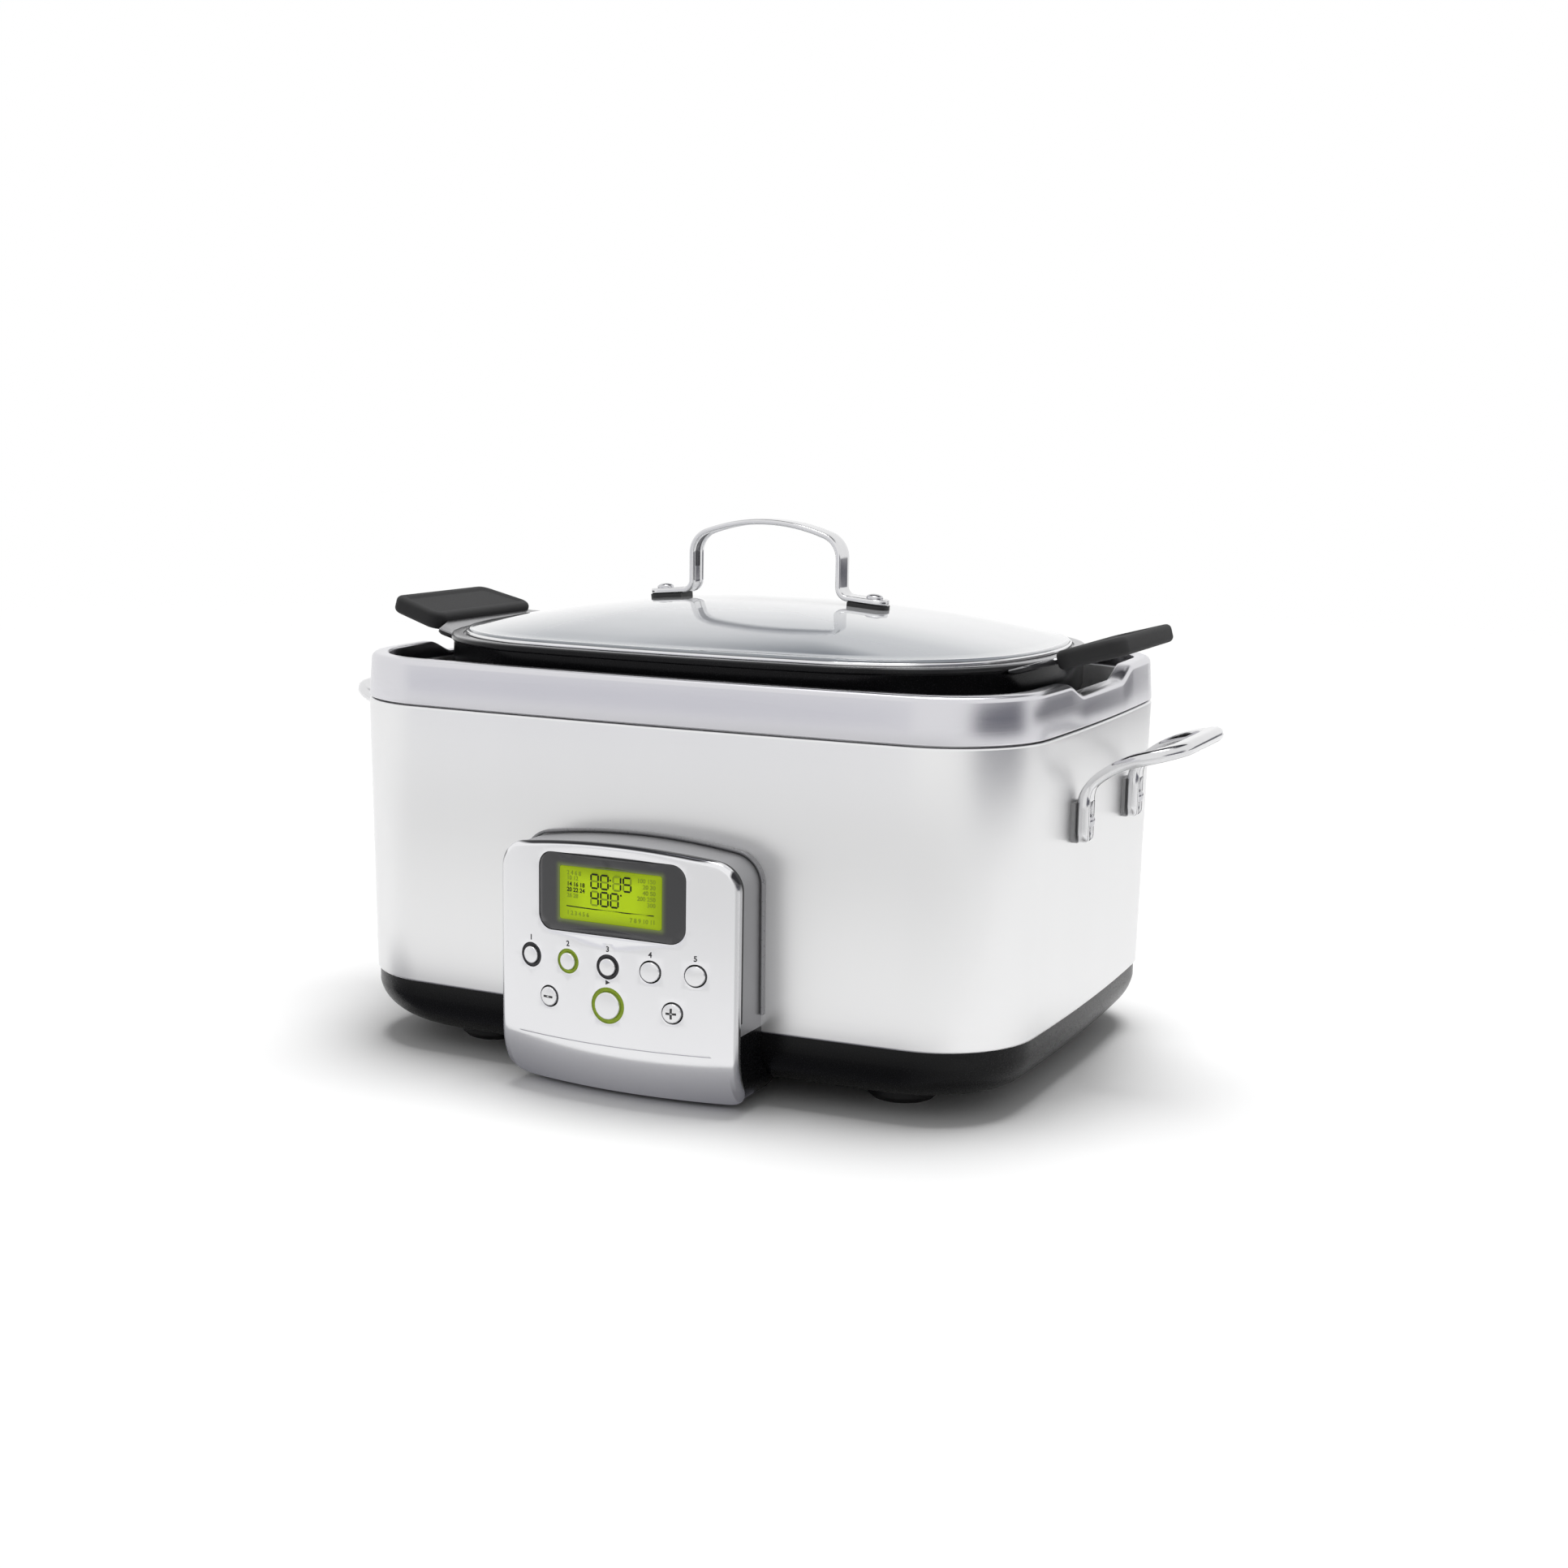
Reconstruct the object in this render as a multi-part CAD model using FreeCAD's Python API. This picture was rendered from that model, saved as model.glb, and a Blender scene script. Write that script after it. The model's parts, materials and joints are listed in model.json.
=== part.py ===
import FreeCAD, Part
import math
import os

V = FreeCAD.Vector

# Sizes are in millimetres, +Z is up and the control panel faces -Y.
# Everything is built about the middle of the body, standing on the floor at z = 0,
# and moved along Y at the end so that the origin is under the middle of the whole box.

# Body
body_length = 400.0
body_depth = 290.0
body_corner = 58.0
long_bow = 3.0
short_bow = 2.1
body_taper = 2.8
shell_height = 155.0
shell_wall = 1.0
shell_hem = 9.0

# Base and feet
foot_height = 11.5
foot_diameter = 38.0
foot_edge = 2.5
foot_from_end = 74.0
foot_from_side = 55.0
base_height = 27.5
base_setback = 4.0
base_bottom_setback = 19.0
base_bottom_corner = 52.0
base_band = 8.0
base_belly_start = 22.0
base_belly_steps = 3
base_wall = 2.5
base_floor = 3.0
post_width = 12.0
post_from_end = 118.0
post_from_side = 84.0

# Collar on top of the shell
seam_gap = 0.8
collar_height = 25.0
collar_wall = 1.2
collar_draft = 0.9
collar_edge = 3.0
collar_edge_steps = 3
collar_flange = 11.0
collar_lip_drop = 10.0
collar_seat = 2.0
collar_seat_height = 2.4
notch_floor_width = 70.0
notch_mouth_width = 112.0
notch_depth = 7.0
notch_blend = 9.0

# Well behind the pot, heater and sensor
liner_wall = 1.0
liner_gap = 1.0
liner_taper = 14.0
heater_length = 230.0
heater_depth = 150.0
heater_corner = 55.0
heater_thickness = 12.0
element_margin = 26.0
element_height = 8.0
element_width = 9.0
sensor_cap = 24.0
sensor_flange = 31.0
sensor_flange_thickness = 1.6
sensor_rise = 2.5
sensor_travel = 3.0
bracket_width = 20.0
bracket_span = 52.0
bracket_tab = 9.0
bracket_wall = 1.2
leaf_width = 12.0
leaf_span = 38.0
leaf_crest = 14.0
leaf_wall = 0.6
leaf_room = 8.9
shield_gap = 24.0
shield_wall = 0.8
shield_margin = 22.0
shield_lip = 9.0
standoff_width = 9.0
standoff_sides = 6
fuse_diameter = 6.0
fuse_length = 34.0
fuse_from_middle = 38.0
fuse_clip_wall = 1.0
fuse_clip_width = 8.0
fuse_clip_tab = 7.0

# Pot and its grips
pot_length = 320.0
pot_depth = 217.0
pot_corner = 80.0
pot_taper = 9.0
pot_inside_height = 112.0
pot_round = 16.0
pot_round_steps = 2
pot_wall = 3.0
pot_floor = 4.0
pot_rise = 9.3
pot_flange = 15.0
pot_flange_thickness = 3.5
lid_seat_width = 11.0
lid_seat_depth = 1.3
ear_tilt = 15.6
ear_thickness = 3.2
ear_root_width = 134.0
ear_root_reach = 1.5
ear_neck_width = 92.0
ear_end_width = 78.0
ear_blend = 5.0
ear_overlap = 9.0
grip_start = 10.5
grip_length = 38.0
grip_inner_width = 107.0
grip_outer_width = 96.0
grip_thickness = 10.0
grip_corner = 6.0
grip_edge = 2.2
grip_end_wall = 5.0
grip_dish_margin = 5.0
grip_dish_depth = 1.0

# Lid
lid_rim_height = 4.9
lid_rim_lip = 0.7
lid_rim_wall = 1.2
lid_rim_cover = 2.8
glass_thickness = 3.5
lid_rise = 19.0
dome_top_share = 0.12
dome_steps = 4

# Strap handle on the lid
strap_width = 14.0
strap_depth = 3.2
strap_edge = 0.9
strap_channel_width = 8.4
strap_channel_depth = 1.2
lid_leg_spacing = 92.0
lid_grip_height = 44.6
lid_grip_bend = 15.0
lid_grip_arch = 5.0
lid_foot_bend = 6.0
lid_rivet_spacing = 131.0
lid_foot_length = 28.0
lid_foot_round = 6.8
gasket_thickness = 2.2
gasket_border = 0.4
rivet_head = 9.5
crown_height_share = 0.27
crown_edge_share = 0.095
crown_flat_share = 0.57
rivet_tail = 2.6
rivet_neck = 4.6
rivet_shank = 3.6
rivet_washer = 17.0
rivet_washer_thickness = 1.6

# Side handles
side_strap_width = 13.0
side_strap_depth = 7.0
side_strap_edge = 1.8
side_rivet_spacing = 90.0
side_rivet_height = 108.0
side_handle_reach = 57.0
side_handle_tilt = 23.5
side_leg_bend = 16.0
side_bar_bend = 17.0
side_foot_below = 11.5
side_foot_above = 10.0
side_foot_round = 5.0
side_rivet_head = 7.4
side_gasket = 0.8
backing_plate_height = 22.0
backing_plate_overhang = 12.0
backing_plate_wall = 1.5

# Control panel
panel_width = 139.0
panel_proud = 35.5
panel_bow = 9.5
panel_top = 98.7
panel_arch = 4.0
panel_top_corner = 16.0
panel_bottom_corner = 13.0
panel_floor_gap = 2.5
panel_crease_drop = 6.0
panel_chin_setback = 18.5
panel_chin_share = 0.94
panel_chin_steps = 4
crease_length = 114.0
crease_width = 0.9
crease_depth = 0.6
fascia_wall = 4.0
housing_setback = 0.9
housing_wall = 3.0
housing_split = 4.0
under_base_reach = 20.0
trim_border = 2.2
trim_proud = 3.0
panel_opening_margin = 16.0
window_width = 85.4
window_bottom = 50.5
window_top = 91.5
window_corner = 8.0
window_recess = 0.5
window_frame = 2.6
lcd_width = 59.4
lcd_height = 28.0
lcd_bottom = 57.0
lcd_recess = 0.9
lcd_thickness = 2.6
lcd_holder_wall = 1.6
lcd_holder_border = 3.0
board_setback = 20.5
board_thickness = 1.6
board_margin = 9.0
board_post = 7.0
board_pin = 3.0
board_pin_length = 2.4

# Buttons
button_row_height = 35.3
button_pitch = 24.0
adjust_row_height = 15.0
adjust_pitch = 36.0
mode_cap = 9.0
set_cap = 10.4
start_cap = 14.3
adjust_cap = 10.0
mode_ring = 12.6
start_ring = 18.6
button_proud = 0.9
ring_recess = 0.6
button_travel = 1.0
button_flange = 1.3
button_flange_thickness = 1.2
button_stem = 3.4
ring_tail = 1.0
switch_body = 6.0
switch_height = 3.6
switch_button = 3.2
switch_button_height = 1.2

# Cord gland in the rear wall
gland_height = 22.0
gland_from_middle = 120.0
gland_flange = 26.0
gland_barrel = 15.0
gland_bore = 7.4
gland_proud = 4.0
gland_depth = 14.0

# Power board in the base
power_board_length = 110.0
power_board_depth = 62.0
power_board_standoff = 7.0
power_board_offset = 20.0
relay_length = 19.0
relay_width = 15.0
relay_height = 16.0
relay_pitch = 26.0
terminal_length = 30.0
terminal_width = 11.0
terminal_height = 13.0

# Clearances
fit_gap = 0.3
snug_gap = 0.15
running_gap = 0.55
same_point = 1e-6
sensor_gap = 0.5
seat_gap = 0.2
lid_side_gap = 1.2

# Heights of the main joints between pieces
base_bottom = foot_height
shell_bottom = base_bottom + base_height
shell_top = shell_bottom + shell_height
collar_top = shell_top + collar_height
liner_rim = collar_top - collar_lip_drop
pot_top = collar_top + pot_rise
pot_bottom = pot_top - pot_inside_height - pot_floor
heater_top = pot_bottom - seat_gap
liner_floor = heater_top - heater_thickness
liner_bottom = liner_floor - liner_wall
shield_top = liner_bottom - shield_gap
lid_bottom = pot_top - lid_seat_depth + seat_gap
brim_bottom = lid_bottom + lid_rim_lip
brim_top = brim_bottom + glass_thickness

# Places shared by several pieces
front_face = -body_depth / 2 - long_bow
panel_front = front_face - panel_proud
panel_radius = ((panel_width / 2) ** 2 + panel_bow ** 2) / (2 * panel_bow)
panel_bottom = panel_floor_gap
crease_level = shell_bottom - panel_crease_drop
board_front = panel_front + board_setback
end_face = body_length / 2 + short_bow
handle_foot_back = end_face + side_gasket
foot_x = body_length / 2 - foot_from_end
foot_y = body_depth / 2 - foot_from_side
post_x = body_length / 2 - post_from_end
post_y = body_depth / 2 - post_from_side
far = body_length

# Shift that puts the origin under the middle of the box
box_shift = V(0, (panel_proud + button_proud - gland_proud) / 2, 0)


# Helpers for outlines and solids

def arc_radius(half_chord, rise):
    """Radius of an arc that rises by a given amount over half its chord."""
    return (half_chord ** 2 + rise ** 2) / (2 * rise)


def outline(half_length, half_depth, corner, z, share=1.0):
    """Closed wire of a rectangle with bowed sides that run smoothly into round corners.

    A share below 1 scales the whole outline about its middle.
    """
    half_length, half_depth, corner = half_length * share, half_depth * share, corner * share
    long_rise = long_bow * share
    short_rise = short_bow * share
    long_radius = arc_radius(half_length - corner, long_rise)
    short_radius = arc_radius(half_depth - corner, short_rise)
    long_centre = V(0, long_radius - half_depth - long_rise, z)
    short_centre = V(half_length + short_rise - short_radius, 0, z)
    apart = short_centre - long_centre
    from_long = long_radius - corner
    from_short = short_radius - corner
    along = (from_long ** 2 - from_short ** 2 + apart.Length ** 2) / (2 * apart.Length)
    across = math.sqrt(from_long ** 2 - along ** 2)
    towards = V(apart).normalize()
    sideways = V(-towards.y, towards.x, 0)
    centre = long_centre + towards * along + sideways * across
    on_long = long_centre + V(centre - long_centre).normalize() * long_radius
    on_short = short_centre + V(centre - short_centre).normalize() * short_radius
    middle = centre + V((on_long - centre) + (on_short - centre)).normalize() * corner

    def flip(point, x_sign, y_sign):
        return V(point.x * x_sign, point.y * y_sign, z)

    front = V(0, -half_depth - long_rise, z)
    right = V(half_length + short_rise, 0, z)
    arcs = [
        (flip(on_long, -1, 1), front, on_long),
        (on_long, middle, on_short),
        (on_short, right, flip(on_short, 1, -1)),
        (flip(on_short, 1, -1), flip(middle, 1, -1), flip(on_long, 1, -1)),
        (flip(on_long, 1, -1), flip(front, 1, -1), flip(on_long, -1, -1)),
        (flip(on_long, -1, -1), flip(middle, -1, -1), flip(on_short, -1, -1)),
        (flip(on_short, -1, -1), flip(right, -1, 1), flip(on_short, -1, 1)),
        (flip(on_short, -1, 1), flip(middle, -1, 1), flip(on_long, -1, 1)),
    ]
    return Part.Wire([Part.Arc(*points).toShape() for points in arcs])


def body_outline(inset, z):
    return outline(body_length / 2 - inset, body_depth / 2 - inset, body_corner - inset, z)


def pot_outline(inset, z, share=1.0):
    """Outline parallel to the pot's mouth, drawn in by inset and then scaled about the middle."""
    return outline(pot_length / 2 - inset, pot_depth / 2 - inset, pot_corner - inset, z, share)


def loft(wires, ruled=True):
    return Part.makeLoft(wires, True, ruled)


def prism(wire, direction):
    return Part.Face(wire).extrude(direction)


def upright(wire, height):
    return prism(wire, V(0, 0, height))


def block(x0, x1, y0, y1, z0, z1):
    return Part.makeBox(x1 - x0, y1 - y0, z1 - z0, V(x0, y0, z0))


def rod(diameter, start, direction, length):
    return Part.makeCylinder(diameter / 2, length, start, direction)


def rounded_wire(corners, place):
    """Closed wire through (u, v, radius) corners with each corner rounded by its radius."""
    count = len(corners)
    edges = []
    ends = []
    for index in range(count):
        u, v, radius = corners[index]
        here = V(u, v, 0)
        back = V(*corners[index - 1][:2], 0) - here
        ahead = V(*corners[(index + 1) % count][:2], 0) - here
        half_turn = back.getAngle(ahead) / 2
        run = radius / math.tan(half_turn)
        bisector = V(V(back).normalize() + V(ahead).normalize()).normalize()
        start = here + V(back).normalize() * run
        stop = here + V(ahead).normalize() * run
        middle = here + bisector * (radius / math.sin(half_turn) - radius)
        ends.append((start, middle, stop))
    for index in range(count):
        start, middle, stop = [place(point.x, point.y) for point in ends[index]]
        if corners[index][2] > 0:
            edges.append(Part.Arc(start, middle, stop).toShape())
        following = ends[(index + 1) % count][0]
        onward = place(following.x, following.y)
        if (onward - stop).Length > same_point:
            edges.append(Part.LineSegment(stop, onward).toShape())
    return Part.Wire(edges)


def turned(profile, base, direction):
    """Solid of revolution from (radius, height) points, standing on base along direction."""
    points = [V(radius, 0, height) for radius, height in profile]
    solid = Part.Face(Part.makePolygon(points + points[:1])).revolve(V(), V(0, 0, 1), 360)
    solid.Placement = FreeCAD.Placement(base, FreeCAD.Rotation(V(0, 0, 1), direction))
    return solid


def rivet_crown(diameter):
    """Low crowned rivet head with its seat at the origin."""
    height = diameter * crown_height_share
    edge = diameter * crown_edge_share
    flat = diameter * crown_flat_share / 2
    head = diameter / 2
    return turned([(0, height), (flat, height), (head, edge), (head, 0), (0, 0)], V(), V(0, 0, 1))


def neck_bar(width, start, length):
    """Square bar along X, centred on its start."""
    half = width / 2
    return block(start.x, start.x + length, start.y - half, start.y + half, start.z - half, start.z + half)


def neck_hole(place):
    """Square hole through an end wall for the neck that keeps a side handle's rivet from turning."""
    return neck_bar(rivet_neck + 2 * snug_gap, V(-far, place.y, place.z), 2 * far)


def mirrored_x(shape):
    return shape.mirror(V(), V(1, 0, 0))


def corners_of(x, y, z):
    return [V(x * x_sign, y * y_sign, z) for x_sign in (-1, 1) for y_sign in (-1, 1)]


def emit(name, *solids):
    """Write one named piece, or one named group of like pieces, in the part's own frame."""
    shape = solids[0] if len(solids) == 1 else Part.makeCompound(list(solids))
    shape = shape.copy()
    shape.translate(box_shift)
    shape.exportStep("parts/" + name + ".step")


# Base and feet

def base_form(grow):
    """Outside of the base: an upright band over a belly that curves in to the bottom."""
    wires = []
    start = math.radians(base_belly_start)
    belly_height = base_height - base_band
    for step in range(base_belly_steps + 1):
        turn = start + (math.pi / 2 - start) * step / base_belly_steps
        share = (math.sin(turn) - math.sin(start)) / (1 - math.sin(start))
        inset = base_bottom_setback + (base_setback - base_bottom_setback) * share - grow
        corner = base_bottom_corner + (body_corner - base_setback - base_bottom_corner) * share + grow
        z = base_bottom + belly_height * (1 - math.cos(turn) / math.cos(start))
        wires.append(outline(body_length / 2 - inset, body_depth / 2 - inset, corner, z))
    wires.append(body_outline(base_setback - grow, shell_bottom))
    return loft(wires)


def square_post(place, width, top):
    """Upright square post from a place up to a level."""
    half = width / 2
    return block(place.x - half, place.x + half, place.y - half, place.y + half, place.z, top)


def make_base_tray():
    """Open tray with posts that carry the heat shield and the power board."""
    floor = base_bottom + base_floor
    half_length = body_length / 2 - base_bottom_setback - base_wall
    half_depth = body_depth / 2 - base_bottom_setback - base_wall
    hollow = loft([
        outline(half_length, half_depth, base_bottom_corner - base_wall, floor),
        body_outline(base_setback + base_wall, shell_bottom),
    ])
    tray = base_form(0).cut(hollow)
    for place in corners_of(post_x, post_y, base_bottom + base_floor / 2):
        tray = tray.fuse(square_post(place, post_width, shield_top - shield_wall))
    for place in power_board_posts(base_bottom + base_floor / 2):
        tray = tray.fuse(square_post(place, post_width / 2, floor + power_board_standoff))
    return tray.removeSplitter()


def make_foot(place):
    radius = foot_diameter / 2
    profile = [(0, 0), (radius - foot_edge, 0), (radius, foot_edge), (radius, foot_height), (0, foot_height)]
    return turned(profile, place, V(0, 0, 1))


def power_board_posts(z):
    x = power_board_length / 2 - post_width / 2
    y = power_board_depth / 2 - post_width / 2
    return [place + V(0, power_board_offset, 0) for place in corners_of(x, y, z)]


# Shell and collar

def taper_at(z):
    """How far the shell's outside stands in from its top edge at a height."""
    return body_taper * (shell_top - z) / shell_height


def shell_form(grow=0):
    low = body_outline(body_taper - grow, shell_bottom)
    high = body_outline(-grow, shell_top)
    return loft([low, high])


def rivet_places():
    """Middle of each rivet of the right-hand side handle, on the back of the handle's feet."""
    z = shell_bottom + side_rivet_height
    return [V(handle_foot_back, side * side_rivet_spacing / 2, z) for side in (-1, 1)]


def make_shell():
    low = shell_bottom + shell_wall
    high = shell_top - shell_wall
    hollow = loft([body_outline(taper_at(z) + shell_wall, z) for z in (low, high)])
    opening = upright(body_outline(shell_hem, 0), far)
    shell = shell_form().cut(hollow).cut(opening)
    half = panel_width / 2 - panel_opening_margin
    top = shell_bottom + panel_top - panel_opening_margin
    bottom = shell_bottom + panel_opening_margin
    shell = shell.cut(block(-half, half, -far, 0, bottom, top))
    for place in rivet_places():
        shell = shell.cut(neck_hole(place))
    barrel = rod(gland_barrel + 2 * snug_gap, gland_place(0), V(0, 1, 0), far)
    return shell.cut(barrel)


def notch_prism(grow):
    """Bar along X whose profile is the dip in the collar's two short sides."""
    floor = collar_top - notch_depth - grow
    high = collar_top + collar_height
    half_floor = notch_floor_width / 2 + grow
    half_mouth = notch_mouth_width / 2 + grow
    profile = [
        (-half_mouth, high, 0),
        (-half_mouth, collar_top, notch_blend),
        (-half_floor, floor, notch_blend),
        (half_floor, floor, notch_blend),
        (half_mouth, collar_top, notch_blend),
        (half_mouth, high, 0),
    ]
    return prism(rounded_wire(profile, lambda u, v: V(-far, u, v)), V(2 * far, 0, 0))


def make_collar():
    bottom = shell_top + seam_gap
    wires = [body_outline(0, bottom)]
    for step in range(collar_edge_steps + 1):
        turn = math.pi / 2 * step / collar_edge_steps
        inset = collar_draft + collar_edge * (1 - math.cos(turn))
        wires.append(body_outline(inset, collar_top - collar_edge * (1 - math.sin(turn))))
    inside = collar_wall + collar_draft
    lower = upright(body_outline(inside, bottom - seam_gap), liner_rim - bottom + seam_gap)
    upper = upright(body_outline(inside, liner_rim), collar_top - collar_wall - liner_rim)
    lip = upright(body_outline(collar_flange - collar_wall, liner_rim), collar_height)
    opening = upright(body_outline(collar_flange, bottom), 2 * collar_height)
    collar = loft(wires).cut(notch_prism(0)).cut(opening)
    collar = collar.cut(lower).cut(upper.cut(lip).cut(notch_prism(collar_wall)))
    seat_outer = upright(body_outline(inside - collar_wall / 2, shell_top), collar_seat_height)
    seat_inner = upright(body_outline(inside + collar_seat, shell_top), collar_seat_height)
    return collar.fuse(seat_outer.cut(seat_inner)).removeSplitter()


# Well, heater and sensor

def make_liner():
    skirt = collar_wall + collar_draft + collar_seat + fit_gap
    cap = upright(body_outline(skirt, shell_top), liner_rim - shell_top)
    cap = cap.cut(upright(body_outline(skirt + liner_wall, shell_top), liner_rim - shell_top - liner_wall))
    top = collar_flange + liner_gap
    outside = loft([body_outline(top + liner_taper, liner_bottom), body_outline(top, liner_rim)])
    inside = loft([
        body_outline(top + liner_taper + liner_wall, liner_floor),
        body_outline(top + liner_wall, liner_rim + liner_wall),
    ])
    hole = rod(sensor_cap + 2 * sensor_gap, V(), V(0, 0, 1), far)
    return cap.fuse(outside).cut(inside).cut(hole).removeSplitter()


def rounded_plate(length, depth, corner, z, thickness):
    half_length = length / 2
    half_depth = depth / 2
    corners = [(x, y, corner) for x, y in (
        (-half_length, -half_depth),
        (half_length, -half_depth),
        (half_length, half_depth),
        (-half_length, half_depth),
    )]
    return upright(rounded_wire(corners, lambda u, v: V(u, v, z)), thickness)


def element_form(grow):
    """Band bent into a closed racetrack that runs under the edge of the heater plate."""
    length = heater_length - 2 * element_margin
    depth = heater_depth - 2 * element_margin
    corner = heater_corner - element_margin
    height = element_height + grow
    inward = element_width + grow
    band = rounded_plate(length + 2 * grow, depth + 2 * grow, corner + grow, liner_floor, height)
    inner_corner = corner - inward
    middle = rounded_plate(length - 2 * inward, depth - 2 * inward, inner_corner, liner_floor, height)
    return band.cut(middle)


def make_heater_plate():
    plate = rounded_plate(heater_length, heater_depth, heater_corner, liner_floor, heater_thickness)
    plate = plate.cut(rod(sensor_cap + 2 * sensor_gap, V(), V(0, 0, 1), far))
    return plate.cut(element_form(snug_gap))


flange_top = liner_bottom - sensor_rise
flange_bottom = flange_top - sensor_flange_thickness
bracket_floor = flange_bottom - sensor_travel - leaf_room


def make_sensor():
    """Sensor that rises through the heater plate, held from below by its own flange."""
    cap = sensor_cap / 2
    flange = sensor_flange / 2
    profile = [(0, flange_bottom), (flange, flange_bottom), (flange, flange_top), (cap, flange_top)]
    return turned(profile + [(cap, heater_top), (0, heater_top)], V(), V(0, 0, 1))


def bent_strip(points, width):
    """Sheet strip with its bends seen along Y, given as a closed outline of (x, z) points."""
    wire = Part.makePolygon([V(x, -width / 2, z) for x, z in points + points[:1]])
    return prism(wire, V(0, width, 0))


def hat_points(half, tab, top, floor, wall):
    """Outline of a hat-shaped strip: two tabs at the top, two legs and a web at the floor."""
    right = [(half - wall, floor), (half - wall, top), (half + tab, top), (half + tab, top - wall)]
    right = right + [(half, top - wall), (half, floor - wall)]
    left = [(-x, z) for x, z in reversed(right)]
    return right + left


def make_sensor_bracket():
    points = hat_points(bracket_span / 2, bracket_tab, liner_bottom, bracket_floor, bracket_wall)
    return bent_strip(points, bracket_width)


def make_leaf_spring():
    """Arched leaf that stands on the bracket and pushes the sensor up."""
    crest = leaf_crest / 2
    foot = leaf_span / 2
    top = flange_bottom - snug_gap
    bottom = bracket_floor + snug_gap
    right = [(crest, top), (foot, bottom + leaf_wall), (foot, bottom), (crest, top - leaf_wall)]
    left = [(-x, z) for x, z in reversed(right)]
    return bent_strip(right + left, leaf_width)


def make_shield():
    low = shield_top - shield_wall
    inset = collar_flange + liner_gap + liner_taper + shield_margin
    plate = upright(body_outline(inset, low), shield_wall + shield_lip)
    plate = plate.cut(upright(body_outline(inset + shield_wall, shield_top), shield_lip))
    return plate


def make_standoff(place):
    """Hexagonal pillar between the heat shield and the well."""
    hexagon = Part.makePolygon([
        place + V(math.cos(turn), math.sin(turn), 0) * (standoff_width / 2)
        for turn in [2 * math.pi * step / standoff_sides for step in range(standoff_sides + 1)]
    ])
    return upright(hexagon, liner_bottom - place.z)


def fuse_place():
    return V(bracket_span, fuse_from_middle - fuse_length / 2, liner_bottom - fuse_diameter / 2 - snug_gap)


def make_fuse():
    return rod(fuse_diameter, fuse_place(), V(0, 1, 0), fuse_length)


def make_fuse_clip():
    """Strap that holds the thermal fuse up against the underside of the well."""
    place = fuse_place()
    half = fuse_diameter / 2 + snug_gap + fuse_clip_wall
    floor = place.z - fuse_diameter / 2 - snug_gap
    clip = bent_strip(hat_points(half, fuse_clip_tab, liner_bottom, floor, fuse_clip_wall), fuse_clip_width)
    clip.translate(V(place.x, place.y + fuse_length / 2, 0))
    return clip


# Pot and grips

def make_pot():
    floor = pot_bottom + pot_floor

    def sections(offset, level, radius):
        wires = []
        for step in range(pot_round_steps + 1):
            turn = math.pi / 2 * step / pot_round_steps
            inset = pot_taper - offset + radius * (1 - math.sin(turn))
            wires.append(pot_outline(inset, level + radius * (1 - math.cos(turn))))
        return wires

    outside = loft(sections(pot_wall, pot_bottom, pot_round + pot_wall) + [pot_outline(-pot_wall, pot_top)])
    inside = loft(sections(0, floor, pot_round) + [pot_outline(0, pot_top + pot_wall)])
    rim_low = pot_top - pot_flange_thickness
    flange = upright(pot_outline(-pot_wall - pot_flange, rim_low), pot_flange_thickness)
    pot = outside.fuse(flange)
    ear = make_ear(0)
    pot = pot.fuse(ear).fuse(mirrored_x(ear))
    seat = upright(pot_outline(-lid_seat_width, pot_top - lid_seat_depth), pot_flange)
    return pot.cut(inside).cut(seat).removeSplitter()


def on_ear(shape):
    """Carry a shape drawn flat, with u outwards from the bend, onto the tilted right ear."""
    bend = V(pot_length / 2 + pot_wall + pot_flange, 0, pot_top - pot_flange_thickness / 2)
    shape.Placement = FreeCAD.Placement(bend, FreeCAD.Rotation(V(0, 1, 0), -ear_tilt))
    return shape


def tapered_wire(u0, u1, width0, width1, corner, level):
    """Outline of a plate that narrows outwards, drawn flat with u outwards from the bend."""
    corners = [
        (u0, -width0 / 2, corner),
        (u1, -width1 / 2, corner),
        (u1, width1 / 2, corner),
        (u0, width0 / 2, corner),
    ]
    return rounded_wire(corners, lambda u, v: V(u, v, level))


def make_ear(grow):
    """Plate with a wide root on the pot's flange and a narrow tongue inside the grip."""
    end = grip_start + grip_length - grip_end_wall + grow
    half = ear_thickness / 2 + grow
    right = [
        (-ear_overlap, ear_root_width / 2 + grow, 0),
        (ear_root_reach, ear_root_width / 2 + grow, ear_blend),
        (grip_start - ear_root_reach, ear_neck_width / 2 + grow, ear_blend),
        (end, ear_end_width / 2 + grow, grip_corner - grip_end_wall),
    ]
    left = [(u, -v, radius) for u, v, radius in reversed(right)]
    return on_ear(upright(rounded_wire(right + left, lambda u, v: V(u, v, -half)), 2 * half))


def make_grip():
    """Soft sleeve over the ear: a pillow-edged slab with a shallow dish for the thumb."""
    stop = grip_start + grip_length

    def section(inset, level):
        widths = (grip_inner_width - 2 * inset, grip_outer_width - 2 * inset)
        return tapered_wire(grip_start + inset, stop - inset, *widths, grip_corner - inset, level)

    half = grip_thickness / 2
    side = half - grip_edge
    grip = loft([section(grip_edge, -half), section(0, -side), section(0, side), section(grip_edge, half)])
    dish = upright(section(grip_dish_margin, half - grip_dish_depth), grip_thickness)
    return on_ear(grip.cut(dish)).cut(make_ear(snug_gap))


# Lid

rim_out = lid_seat_width - lid_side_gap
brim_out = rim_out - lid_rim_wall
dome_out = brim_out - lid_rim_cover - fit_gap
dome_half_length = pot_length / 2 + dome_out + short_bow


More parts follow.
